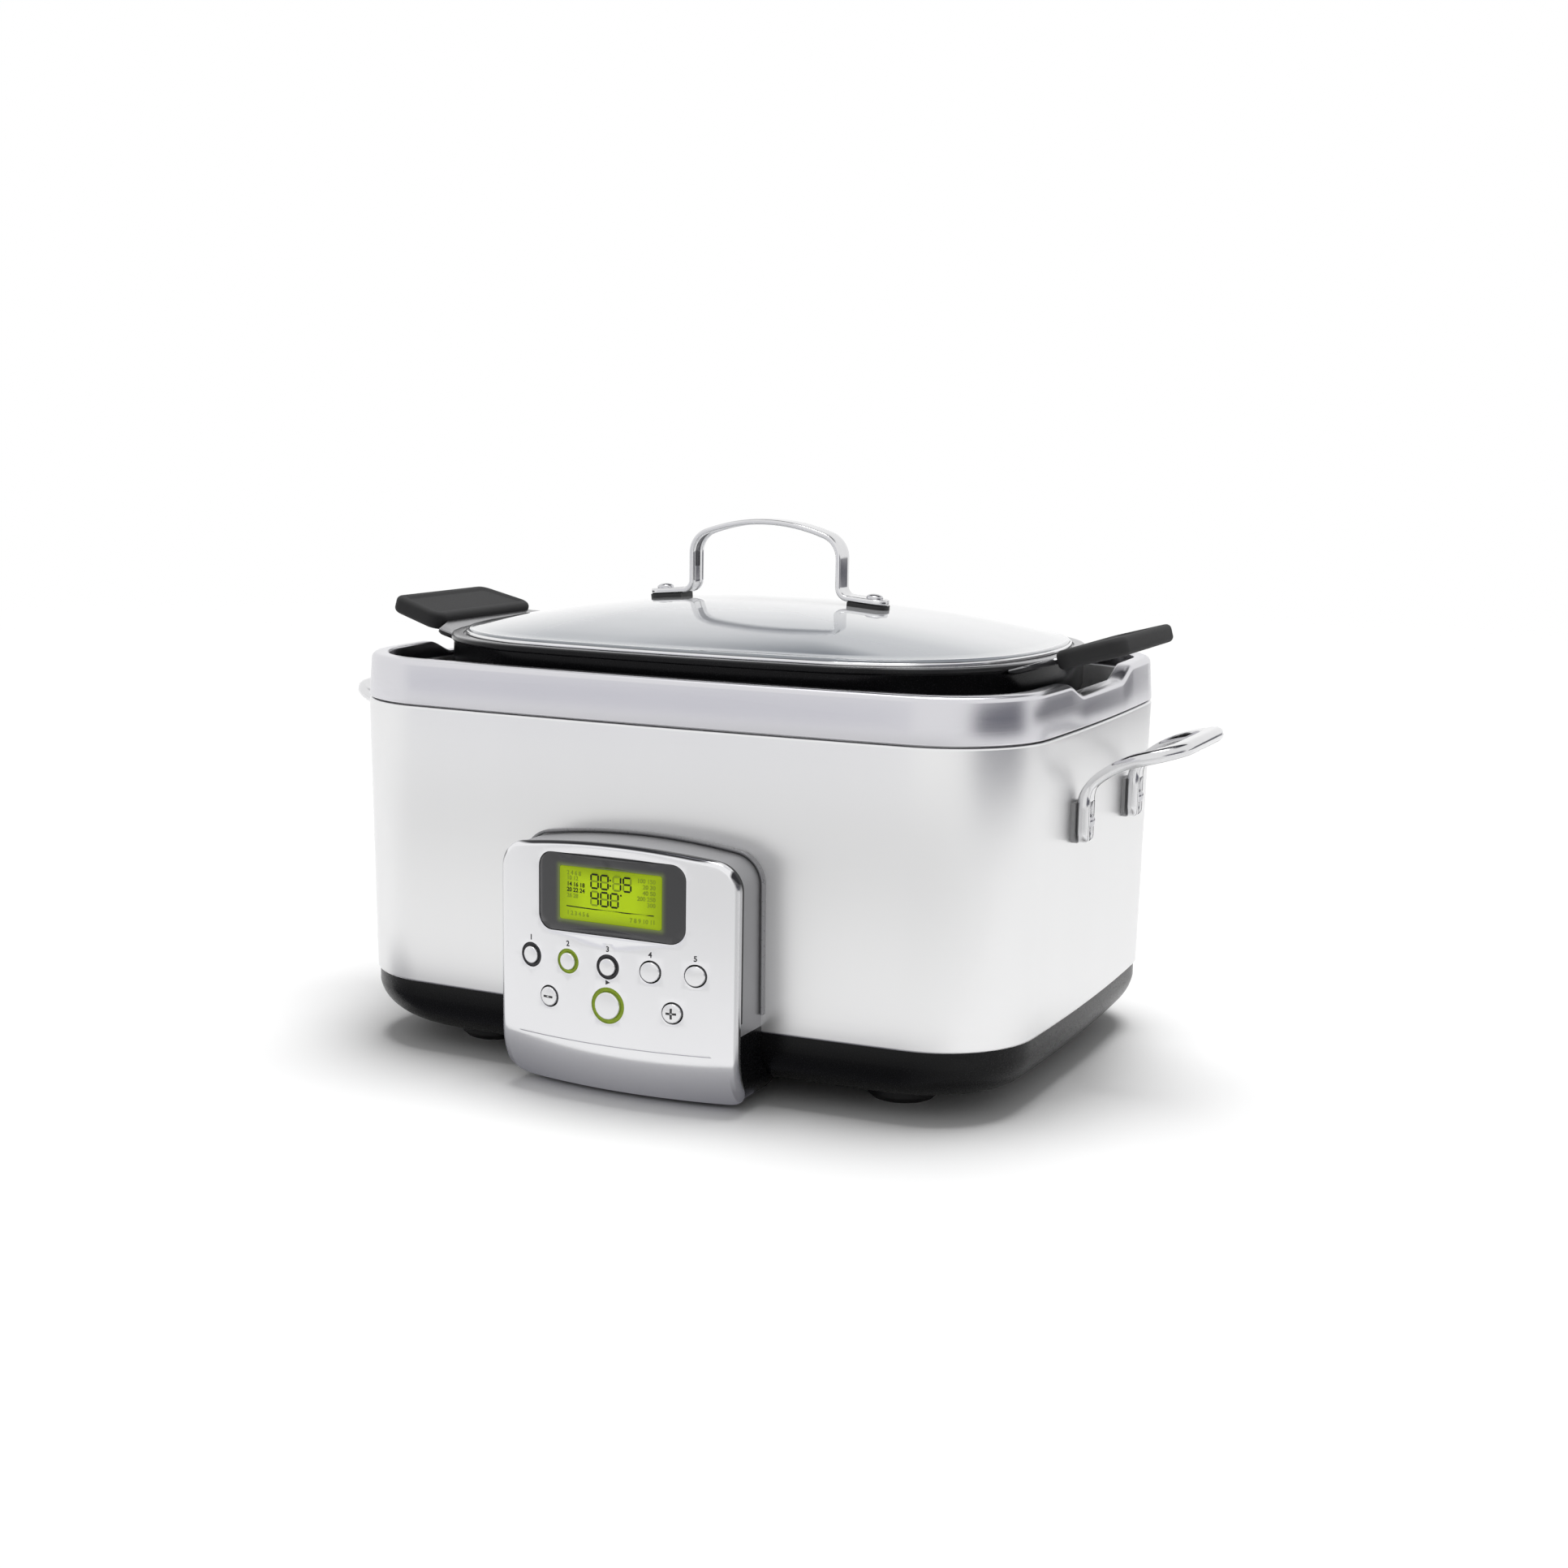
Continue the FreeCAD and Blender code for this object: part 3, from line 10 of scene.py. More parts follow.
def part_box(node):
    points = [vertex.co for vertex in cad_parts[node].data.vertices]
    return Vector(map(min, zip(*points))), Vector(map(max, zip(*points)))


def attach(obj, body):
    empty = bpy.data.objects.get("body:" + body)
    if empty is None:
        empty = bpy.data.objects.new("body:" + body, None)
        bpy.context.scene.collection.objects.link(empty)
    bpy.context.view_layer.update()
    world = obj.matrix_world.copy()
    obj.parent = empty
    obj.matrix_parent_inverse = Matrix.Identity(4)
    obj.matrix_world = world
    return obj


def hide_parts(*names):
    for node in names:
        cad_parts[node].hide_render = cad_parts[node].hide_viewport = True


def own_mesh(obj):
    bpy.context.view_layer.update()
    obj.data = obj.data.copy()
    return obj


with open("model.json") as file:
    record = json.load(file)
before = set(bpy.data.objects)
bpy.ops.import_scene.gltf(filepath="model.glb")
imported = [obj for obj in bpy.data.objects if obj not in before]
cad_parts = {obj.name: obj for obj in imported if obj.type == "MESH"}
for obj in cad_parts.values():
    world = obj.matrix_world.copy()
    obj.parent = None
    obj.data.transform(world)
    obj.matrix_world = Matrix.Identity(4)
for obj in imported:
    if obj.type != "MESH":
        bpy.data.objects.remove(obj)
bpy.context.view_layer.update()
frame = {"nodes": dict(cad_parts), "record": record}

# Shapes are worked out in millimetres about the middle of the body and placed in metres in the CAD frame.
MM = 0.001
quarter = math.pi / 2
shell_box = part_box("outer_shell")
body_shift = Vector((0, (shell_box[0].y + shell_box[1].y) / 2, 0))


def box_mm(node):
    """Low and high corner of a CAD node, in millimetres about the middle of the body."""
    return [(corner - body_shift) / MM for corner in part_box(node)]


def place(point):
    return Vector(point) * MM + body_shift


# Body sizes
long_bow = 3.0
short_bow = 2.1
body_corner = 58.0
body_taper = 2.8
shell_low, shell_high = box_mm("outer_shell")
shell_bottom = shell_low.z
shell_top = shell_high.z
body_half_length = shell_high.x - short_bow
body_half_depth = shell_high.y - long_bow
front_face = shell_low.y
end_face = shell_high.x
shell_hem = 9.0
shell_wall = 1.0
shell_edge = 1.4

# Collar sizes
collar_bottom = box_mm("top_collar")[0].z + 0.8
collar_top = box_mm("top_collar")[1].z
collar_draft = 1.7
collar_wall = 1.2
collar_edge = 3.4
collar_flange = 11.0
collar_lip_drop = 10.0
collar_bead = 0.9
flange_round = 1.1
notch_floor_half = 35.0
notch_mouth_half = 56.0
notch_depth = 7.0
notch_blend_height = 5.0
notch_steps = 96

# Base sizes
base_bottom = box_mm("base_tray")[0].z
base_setback = 4.0
base_bottom_setback = 19.0
base_bottom_corner = 52.0
base_band = 8.0
belly_start = math.radians(22.0)
belly_stop = math.radians(82.0)
belly_steps = 14
base_wall = 2.5
foot_places = [(x, y) for x in (-126.0, 126.0) for y in (-90.0, 90.0)]
foot_radius = 19.0
foot_edge = 2.5
foot_round = 1.0
foot_groove = 0.8
groove_round = 0.3

# Sensor spring sizes
leaf_crest = 14.0
leaf_wall = 0.6

# Pot sizes
pot_half_length = 160.0
pot_half_depth = 108.5
pot_corner = 80.0
pot_taper = 9.0
pot_round = 16.0
pot_wall = 3.0
pot_floor = 4.0
pot_bottom = box_mm("cooking_pot")[0].z
pot_top = pot_bottom + 116.0
pot_flange = 15.0
pot_flange_thickness = 3.5
pot_flange_edge = 1.4
shoulder_inset = 1.2
shoulder_drop = 14.0
shoulder_height = 14.0
shoulder_round = 8.0
seat_round = 0.4
lip_round = 1.2
lid_seat_width = 11.0
lid_seat_depth = 1.3
ear_tilt = math.radians(15.6)
ear_thickness = 3.2
ear_root_half = 67.0
ear_root_reach = 1.5
ear_neck_half = 46.0
ear_end_half = 39.0
ear_overlap = 9.0
ear_reach = 43.5
ear_corner = 5.0
ear_end_corner = 1.0
ear_edge = 0.7
grip_start = 10.5
grip_length = 38.0
grip_inner_width = 107.0
grip_outer_width = 96.0
grip_thickness = 10.0
grip_corner = 8.5
grip_least_corner = 1.5
grip_edge = 3.0
grip_dish_margin = 5.0
grip_dish_slope = 2.4
grip_dish_depth = 1.0

# Lid sizes
lid_bottom = box_mm("lid_rim")[0].z
lid_rim_wall = 1.2
lid_rim_cover = 2.8
lid_side_gap = 1.2
glass_thickness = 3.5
brim_bottom = lid_bottom + 0.7
brim_top = brim_bottom + glass_thickness
brim_run = 2.2
brim_step = 0.8
brim_inset = 0.2
brim_slope = 0.1
brim_low_round = 0.4
brim_high_round = 1.4
lid_rise = 19.0
rim_bead = 2.8
dome_steps = 28
rim_out = lid_seat_width - lid_side_gap
brim_out = rim_out - lid_rim_wall
dome_out = brim_out - lid_rim_cover - 0.3
dome_half_length = pot_half_length + dome_out + short_bow

# Lid handle sizes
strap_width = 14.0
strap_depth = 3.2
strap_edge = 1.1
strap_crown = 0.3
channel_width = 10.6
channel_depth = 1.3
channel_shade_rise = 0.15
leg_x = 46.0
grip_bend = 13.5
grip_arch = 5.0
grip_peak = box_mm("lid_handle")[1].z
lid_rivet_x = 65.5
lid_tab_end = 8.5
lid_tab_thickness = 3.2
lid_tab_edge = 1.2
lid_foot_bend = 6.0
gasket_thickness = 2.2
lid_rivet_head = 9.5
rivet_head_height = 2.6

# Side handle sizes
side_width = 13.0
side_depth = 7.0
side_rivet_y = 45.0
side_rivet_z = 147.0
side_reach = 57.0
side_rise = math.radians(42)
side_tilt = math.radians(15)
side_leg_bend = 16.0
side_bar_bend = 17.0
side_foot_below = 11.5
side_foot_above = 10.0
side_gasket = 0.8
side_recess_width = 7.6
side_recess_depth = 1.5
side_recess_top = 12.0
side_recess_fade = 4.0
side_rivet_head = 7.4
side_edge = 3.2
side_crown = 0.4
side_waist = 0.74
side_tip_share = 0.35

# Control panel sizes
panel_low, panel_high = box_mm("panel_fascia")
panel_half = panel_high.x
panel_front = panel_low.y
panel_bottom = panel_low.z
panel_peak = panel_high.z
panel_bow = 9.5
panel_arch = 4.0
panel_top_corner = 16.0
panel_bottom_corner = 13.0
crease_level = shell_bottom - 6.0
crease_half = 57.0
crease_width = 1.1
crease_depth = 0.7
crease_fade = 1.5
chin_setback = 18.5
chin_share = 0.94
fascia_wall = 4.0
fascia_edge = 2.6
fascia_pitch = 4.0
hole_chamfer = 0.45
hole_gap = 0.15
window_chamfer = 0.9
housing_setback = 0.9
housing_wall = 3.0
housing_level = shell_bottom + 4.0
trim_border = 2.2
trim_proud = 3.0
trim_round = 0.9
trim_gap = 0.35
trim_root = 0.3
# Dark seal behind the fascia, partly a real seal and partly painted shade
shade_seal_depth = 3.0
shade_seal_proud = 0.25
shade_seal_inset = 1.2
shade_seal_overlap = 0.2
window_low, window_high = box_mm("display_bezel")
window_corner = 8.0
window_recess = 0.5
window_depth = 2.4
lcd_low, lcd_high = box_mm("lcd_panel")
lcd_size = lcd_high - lcd_low
lcd_corner = 1.4
lcd_recess = 0.9
lcd_depth = 2.0
button_gap = 0.7
button_dome = 0.55
button_proud = 0.9
button_edge = 0.7
ring_recess = 0.8
ring_edge = 0.25
mode_ring = 6.3
start_ring = 9.3
print_thickness = 0.06
print_root = 0.1
glyph_thickness = 0.16
glyph_root = 0.2
numeral_weight = 0.03
numeral_height = 2.8


# Outlines and meshes

straight = 1e-3
long_steps = 24
corner_steps = 18
end_steps = 18


def arc_radius(half_chord, rise):
    """Radius of an arc that rises by a given amount over half its chord."""
    return (half_chord ** 2 + rise ** 2) / (2 * rise)


def arc(centre, radius, start, stop, steps):
    """Points along an arc in a plane, without its last one."""
    turns = [start + (stop - start) * step / steps for step in range(steps)]
    return [Vector(centre) + Vector((math.cos(turn), math.sin(turn))) * radius for turn in turns]


def circle(x, y, radius, steps=36):
    return arc((x, y), radius, 0, 4 * quarter, steps)


def line(start, stop, steps):
    return [Vector(start).lerp(Vector(stop), step / steps) for step in range(steps)]


def outline(half_length, half_depth, corner, share=1.0, short_steps=end_steps):
    """Rectangle with bowed sides that run smoothly into round corners, as the body and the pot have."""
    half_length, half_depth, corner = half_length * share, half_depth * share, corner * share
    long_rise, short_rise = long_bow * share, short_bow * share
    long_radius = arc_radius(half_length - corner, long_rise)
    short_radius = arc_radius(half_depth - corner, short_rise)
    long_y = long_radius - half_depth - long_rise
    short_x = half_length + short_rise - short_radius
    apart = Vector((short_x, -long_y))
    from_long = long_radius - corner
    from_short = short_radius - corner
    along = (from_long ** 2 - from_short ** 2 + apart.length_squared) / (2 * apart.length)
    across = math.sqrt(from_long ** 2 - along ** 2)
    towards = apart.normalized()
    x, y = Vector((0, long_y)) + towards * along + Vector((-towards.y, towards.x)) * across
    lean = math.atan2(x, long_y - y)
    dip = math.atan2(y, x - short_x)
    half = arc((0, long_y), long_radius, -quarter - lean, lean - quarter, long_steps)
    half += arc((x, y), corner, lean - quarter, dip, corner_steps)
    half += arc((short_x, 0), short_radius, dip, -dip, short_steps)
    half += arc((x, -y), corner, -dip, quarter - lean, corner_steps)
    return half + [-point for point in half]


def body_ring(inset, z, corner=None, short_steps=end_steps):
    corner = body_corner - inset if corner is None else corner
    flat = outline(body_half_length - inset, body_half_depth - inset, corner, short_steps=short_steps)
    return [Vector((p.x, p.y, z)) for p in flat]


def pot_ring(inset, z, share=1.0):
    flat = outline(pot_half_length - inset, pot_half_depth - inset, pot_corner - inset, share)
    return [Vector((p.x, p.y, z)) for p in flat]


def rounded(corners, closed=True, steps=5):
    """Points along straight runs through (u, v, radius) corners, with each corner rounded."""
    points = []
    count = len(corners)
    for index, (u, v, radius) in enumerate(corners):
        here = Vector((u, v))
        ends = index in (0, count - 1) and not closed
        if ends or radius == 0:
            points.append(here)
            continue
        back = (Vector(corners[index - 1][:2]) - here).normalized()
        ahead = (Vector(corners[(index + 1) % count][:2]) - here).normalized()
        half_turn = back.angle(ahead) / 2
        if quarter - half_turn < straight:
            points += [here] * (steps + 1)
            continue
        run = radius / math.tan(half_turn)
        centre = here + (back + ahead).normalized() * (radius / math.sin(half_turn))
        first = here + back * run - centre
        turn = first.angle_signed(here + ahead * run - centre)
        points += [centre + Matrix.Rotation(-turn * step / steps, 2) @ first for step in range(steps + 1)]
    return points


def divided(loop, pitch):
    """Outline with points added along its sides, at most a pitch apart."""
    points = []
    for start, stop in zip(loop, loop[1:] + loop[:1]):
        points += line(start, stop, math.ceil((stop - start).length / pitch))
    return points


def round_edge(radius, steps):
    """Rows of (inset, depth) round a quarter circle."""
    turns = [quarter * step / steps for step in range(steps + 1)]
    return [(radius * (1 - math.sin(turn)), radius * (1 - math.cos(turn))) for turn in turns]


def quads(first, second):
    """Faces between two loops of like count."""
    count = len(first)
    return [(first[i], first[(i + 1) % count], second[(i + 1) % count], second[i]) for i in range(count)]


def skin(rings, closed=False):
    """Closed mesh over rings of like count: a tube with capped ends, or a ring of rings."""
    count = len(rings[0])
    rows = [range(start, start + count) for start in range(0, count * len(rings), count)]
    faces = [face for low, high in zip(rows, rows[1:]) for face in quads(low, high)]
    faces += quads(rows[-1], rows[0]) if closed else [tuple(rows[0]), tuple(rows[-1])]
    return [point for ring in rings for point in ring], faces


def ring_skin(profile, ring):
    """Wall whose section is a closed profile of (inset, height) points."""
    return skin([ring(inset, z) for inset, z in profile], closed=True)


def joined(*parts):
    """One mesh from several."""
    points, faces = [], []
    for more_points, more_faces in parts:
        start = len(points)
        points += more_points
        faces += [tuple(index + start for index in face) for face in more_faces]
    return points, faces


def flipped(part):
    """Mirror image of a mesh across the middle of the length."""
    return [Vector((-point[0], point[1], point[2])) for point in part[0]], part[1]


def lathe(profile, origin, axis, steps=40):
    """Turned mesh from (radius, height) points along an axis, with its ends capped."""
    turn = Vector((0, 0, 1)).rotation_difference(Vector(axis))
    return skin([[Vector(origin) + turn @ Vector((p.x, p.y, height)) for p in circle(0, 0, radius, steps)]
                 for radius, height in profile])


def add_piece(name, part, slot, body="base", node=None, look=None, sharp=38):
    """Object from a closed mesh, shaded smooth but for its sharp edges, riding on a CAD body."""
    work = bmesh.new()
    points = [work.verts.new(place(point)) for point in part[0]]
    for face in part[1]:
        work.faces.new([points[index] for index in face])
    bmesh.ops.remove_doubles(work, verts=work.verts, dist=MM / 1000)
    bmesh.ops.recalc_face_normals(work, faces=work.faces)
    mesh = bpy.data.meshes.new(name)
    work.to_mesh(mesh)
    work.free()
    mesh.polygons.foreach_set("use_smooth", [True] * len(mesh.polygons))
    mesh.set_sharp_from_angle(angle=math.radians(sharp))
    mesh.materials.append(materials[look or slot])
    piece = bpy.data.objects.new(name, mesh)
    bpy.context.scene.collection.objects.link(piece)
    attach(piece, body)
    if node:
        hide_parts(node)
    return piece


# Materials

class Nodes:
    """Small helper that wires the nodes of one material or world."""

    def __init__(self, name, world=False):
        self.owner = (bpy.data.worlds if world else bpy.data.materials).new(name)
        self.owner.use_nodes = True
        self.tree = self.owner.node_tree
        self.tree.nodes.clear()
        self.output = self.node("ShaderNodeOutputWorld" if world else "ShaderNodeOutputMaterial")
        self.where = self.node("ShaderNodeTexCoord").outputs["Object"]

    def node(self, kind, feeds=None, **settings):
        """Node with its settings made and each input linked to a socket or set to a number or colour."""
        made = self.tree.nodes.new(kind)
        for key, value in settings.items():
            setattr(made, key, value)
        for key, value in (feeds or {}).items():
            if isinstance(value, bpy.types.NodeSocket):
                self.tree.links.new(value, made.inputs[key])
            elif made.inputs[key].type == "RGBA":
                made.inputs[key].default_value = (*value, 1)
            else:
                made.inputs[key].default_value = value
        return made

    def show(self, shader):
        self.tree.links.new(shader.outputs[0], self.output.inputs["Surface"])
        return self.owner

    def shader(self, **values):
        feeds = {key.replace("_", " "): value for key, value in values.items()}
        return self.show(self.node("ShaderNodeBsdfPrincipled", feeds))

    def stretched(self, scale):
        return self.node("ShaderNodeMapping", {"Scale": scale, "Vector": self.where}).outputs[0]

    def noise(self, scale, detail=2.0, where=None):
        feeds = {"Scale": scale, "Detail": detail, "Vector": where or self.where}
        return self.node("ShaderNodeTexNoise", feeds).outputs["Fac"]

    def ramp(self, value, low, high, out_low=0, out_high=1):
        feeds = {"Value": value, "From Min": low, "From Max": high, "To Min": out_low, "To Max": out_high}
        return self.node("ShaderNodeMapRange", feeds).outputs[0]

    def mix(self, factor, first, second):
        """Colour between two, by a factor from 0 to 1."""
        return self.node("ShaderNodeMix", {0: factor, 6: first, 7: second}, data_type="RGBA").outputs[2]

    def mottle(self, tone, colour, vary):
        """Colour that a noise makes darker and lighter."""
        return self.mix(self.ramp(tone, 0.3, 0.7), shade(colour, 1 - vary), shade(colour, 1 + vary))

    def math(self, operation, *values):
        return self.node("ShaderNodeMath", dict(enumerate(values)), operation=operation).outputs[0]

    def product(self, first, *others):
        for other in others:
            first = self.math("MULTIPLY", first, other)
        return first

    def length(self, *sides):
        return self.math("SQRT", self.math("ADD", *[self.math("MULTIPLY", side, side) for side in sides]))

    def split(self, vector=None):
        """Components of a vector, or of the place on the object."""
        return self.node("ShaderNodeSeparateXYZ", {0: vector or self.where}).outputs

    def facing(self):
        """Components of the surface's normal."""
        return self.split(self.node("ShaderNodeNewGeometry").outputs["Normal"])

    def bump(self, height, strength, distance):
        feeds = {"Strength": strength, "Distance": distance, "Height": height}
        return self.node("ShaderNodeBump", feeds).outputs[0]


def shade(colour, factor):
    return tuple(channel * factor for channel in colour)


def brushed_metal(name, colour, rough):
    """Metal with a fine grain drawn out along its length, and soft upright bands painted into its colour as
    reflections.
    """
    nodes = Nodes(name)
    fine = nodes.noise(1.0, 3.0, nodes.stretched((14, 14, 3600)))
    reflection_bands = nodes.noise(1.0, 2.0, nodes.stretched((26, 26, 0.6)))
    # The upright bands in the colour are a painted reflection; the fine grain is the metal's own.
    tone = nodes.math("ADD", nodes.math("MULTIPLY", fine, 0.4), nodes.math("MULTIPLY", reflection_bands, 0.6))
    return nodes.shader(
        Metallic=1.0,
        Anisotropic=0.6,
        Base_Color=nodes.mottle(tone, colour, 0.008),
        Roughness=nodes.ramp(fine, 0.25, 0.75, rough - 0.025, rough + 0.035),
        Tangent=nodes.node("ShaderNodeTangent", direction_type="RADIAL", axis="Z").outputs[0],
        Normal=nodes.bump(fine, 0.0025, 0.0002),
    )


def polished_metal(name, colour, rough):
    """Polished metal with faint smears and fine scratches."""
    nodes = Nodes(name)
    smear = nodes.noise(45.0, 4.0)
    return nodes.shader(
        Metallic=1.0,
        Base_Color=nodes.mix(nodes.ramp(smear, 0.35, 0.65), shade(colour, 0.95), shade(colour, 1.03)),
        Roughness=nodes.ramp(smear, 0.3, 0.7, rough - 0.03, rough + 0.05),
        Normal=nodes.bump(nodes.noise(900.0), 0.015, 0.0002),
    )


def moulded(name, colour, rough, metallic=0.0, texture=700.0, relief=0.05, vary=0.06, gloss=0.5):
    """Moulded or coated surface with a fine texture and a little unevenness of tone."""
    nodes = Nodes(name)
    fine = nodes.noise(texture, 3.0)
    return nodes.shader(
        Metallic=metallic,
        Specular_IOR_Level=gloss,
        Base_Color=nodes.mottle(nodes.noise(14.0), colour, vary),
        Roughness=nodes.ramp(fine, 0.3, 0.7, rough - 0.04, rough + 0.04),
        Normal=nodes.bump(fine, relief, 0.0003),
    )


def light_guide(name, colour, glow):
    """Translucent ring, lit from behind or not."""
    nodes = Nodes(name)
    tone = nodes.mottle(nodes.noise(240.0), colour, 0.15)
    return nodes.shader(Roughness=0.3, Specular_IOR_Level=0.25, Emission_Strength=glow, Base_Color=tone,
                        Emission_Color=tone)


def fascia_surface(name):
    """Satin silver face, with a dark reflection painted on the back of its rounded edge along the top, fading down
    the sides.
    """
    nodes = Nodes(name)
    fine = nodes.noise(1500.0, 3.0)
    x, _, z = nodes.split()
    facing = nodes.facing()
    # Mask of the painted dark reflection: the back of the rounded edge, at the top and at the sides, darkest where
    # it faces up.
    sides = nodes.ramp(nodes.math("ABSOLUTE", x), (panel_half - 5) * MM, (panel_half - 4) * MM)
    top = nodes.ramp(z, (window_high.z + 2) * MM, (window_high.z + 3) * MM)
    turned = nodes.ramp(facing["Y"], -0.93, -0.82)
    upward = nodes.ramp(facing["Z"], 0.05, 0.3, 0.3, 1)
    edge = nodes.product(nodes.math("MAXIMUM", sides, top), turned, upward)
    silver = nodes.mix(nodes.ramp(nodes.noise(14.0), 0.3, 0.7), (0.84, 0.84, 0.856), (0.86, 0.86, 0.876))
    return nodes.shader(
        Metallic=0.9,
        # The painted dark reflection, near black, laid over the silver.
        Base_Color=nodes.mix(edge, silver, (0.03, 0.03, 0.034)),
        Roughness=nodes.ramp(fine, 0.3, 0.7, 0.12, 0.20),
        Normal=nodes.bump(fine, 0.004, 0.0003),
    )


def pot_surface(name):
    """Black coating on the pot, with bare grey metal on top of its flange near the ears, kept to faces turned up
    there as painted light.
    """
    nodes = Nodes(name)
    speck = nodes.noise(1600.0)
    x, _, z = nodes.split()
    level = (pot_top - pot_flange_thickness) * MM
    # The grey top is partly bare metal and partly painted light: it is kept to the ends near the ears and to faces
    # turned up.
    ends = nodes.ramp(nodes.math("ABSOLUTE", x), 0.115, 0.15, 0.08, 1)
    above = nodes.ramp(z, level - 0.0006, level - 0.0002)
    bare_and_lit_top = nodes.product(ends, above, nodes.ramp(nodes.facing()["Z"], 0.35, 0.75, 0.15, 1))
    coat = nodes.mix(nodes.ramp(speck, 0.55, 0.75), (0.006, 0.006, 0.007), (0.02, 0.02, 0.022))
    metal = nodes.mix(nodes.noise(120.0), (0.24, 0.24, 0.25), (0.32, 0.32, 0.33))
    return nodes.shader(
        Specular_IOR_Level=0.14,
        Metallic=bare_and_lit_top,
        Base_Color=nodes.mix(bare_and_lit_top, coat, metal),
        Roughness=nodes.ramp(speck, 0.3, 0.7, 0.15, 0.23),
        Normal=nodes.bump(speck, 0.06, 0.0002),
    )


def dome_surface(name):
    """Clear tempered glass, its colour painted with reflections: paler towards the back, darker towards the front
    and the right.
    """
    nodes = Nodes(name)
    x, y, _ = nodes.split()
    cloud = nodes.noise(7.0, 3.0, nodes.stretched((0.5, 2.2, 1.0)))
    # Painted reflections: paler towards the back, streaked by noise, and darker towards the front and the right.
    back = nodes.math("ADD", nodes.ramp(y, -0.09, 0.0), nodes.ramp(cloud, 0.3, 0.7, -0.2, 0.2))
    tone = nodes.math("SUBTRACT", back, nodes.ramp(x, 0.02, 0.17, 0, 0.45))
    return nodes.shader(
        IOR=1.5,
        Transmission_Weight=0.3,
        Coat_Weight=1.0,
        Coat_IOR=1.6,
        Coat_Roughness=0.05,
        Base_Color=nodes.mix(nodes.ramp(tone, 0, 1), (0.36, 0.39, 0.43), (0.95, 0.955, 0.97)),
        Roughness=nodes.ramp(cloud, 0.3, 0.7, 0.05, 0.10),
    )


def from_display(nodes):
    """Distances from the middle of the display, across and upright, each with the display's half size."""
    x, _, z = nodes.split()
    middle = place((lcd_low + lcd_high) / 2)
    half = lcd_size * MM / 2
    return [(nodes.math("ABSOLUTE", nodes.math("SUBTRACT", spot, centre)), size)
            for spot, centre, size in ((x, middle.x, half.x), (z, middle.z, half.z))]


def lit_display(name):
    """Backlit display, a little brighter in its middle."""
    nodes = Nodes(name)
    edge = nodes.math("MAXIMUM", *[nodes.math("DIVIDE", away, half) for away, half in from_display(nodes)])
    uneven = nodes.math("ADD", edge, nodes.math("MULTIPLY", nodes.noise(60.0), 0.1))
    glow = nodes.mix(nodes.ramp(uneven, 0.55, 1.05), (0.37, 0.515, 0.006), (0.25, 0.345, 0.004))
    return nodes.shader(Roughness=0.25, Specular_IOR_Level=0.15, Emission_Strength=0.5, Base_Color=glow,
                        Emission_Color=glow)


def window_surface(name):
    """Dark glossy window, with the display's green glow painted round its opening as emission."""
    nodes = Nodes(name)
    beyond = [nodes.math("MAXIMUM", nodes.math("SUBTRACT", away, half), 0.0) for away, half in from_display(nodes)]
    # Painted glow: the window emits the display's light near its opening, though it is no lamp.
    painted_glow = nodes.ramp(nodes.length(*beyond), 0.0, 0.0035, 1, 0)
    return nodes.shader(
        Roughness=0.12,
        Coat_Weight=0.5,
        Coat_Roughness=0.05,
        Emission_Strength=0.5,
        Base_Color=nodes.mix(nodes.noise(30.0), (0.026, 0.026, 0.029), (0.034, 0.034, 0.038)),
        Emission_Color=nodes.mix(nodes.math("POWER", painted_glow, 2.2), (0, 0, 0), (0.20, 0.28, 0.005)),
    )


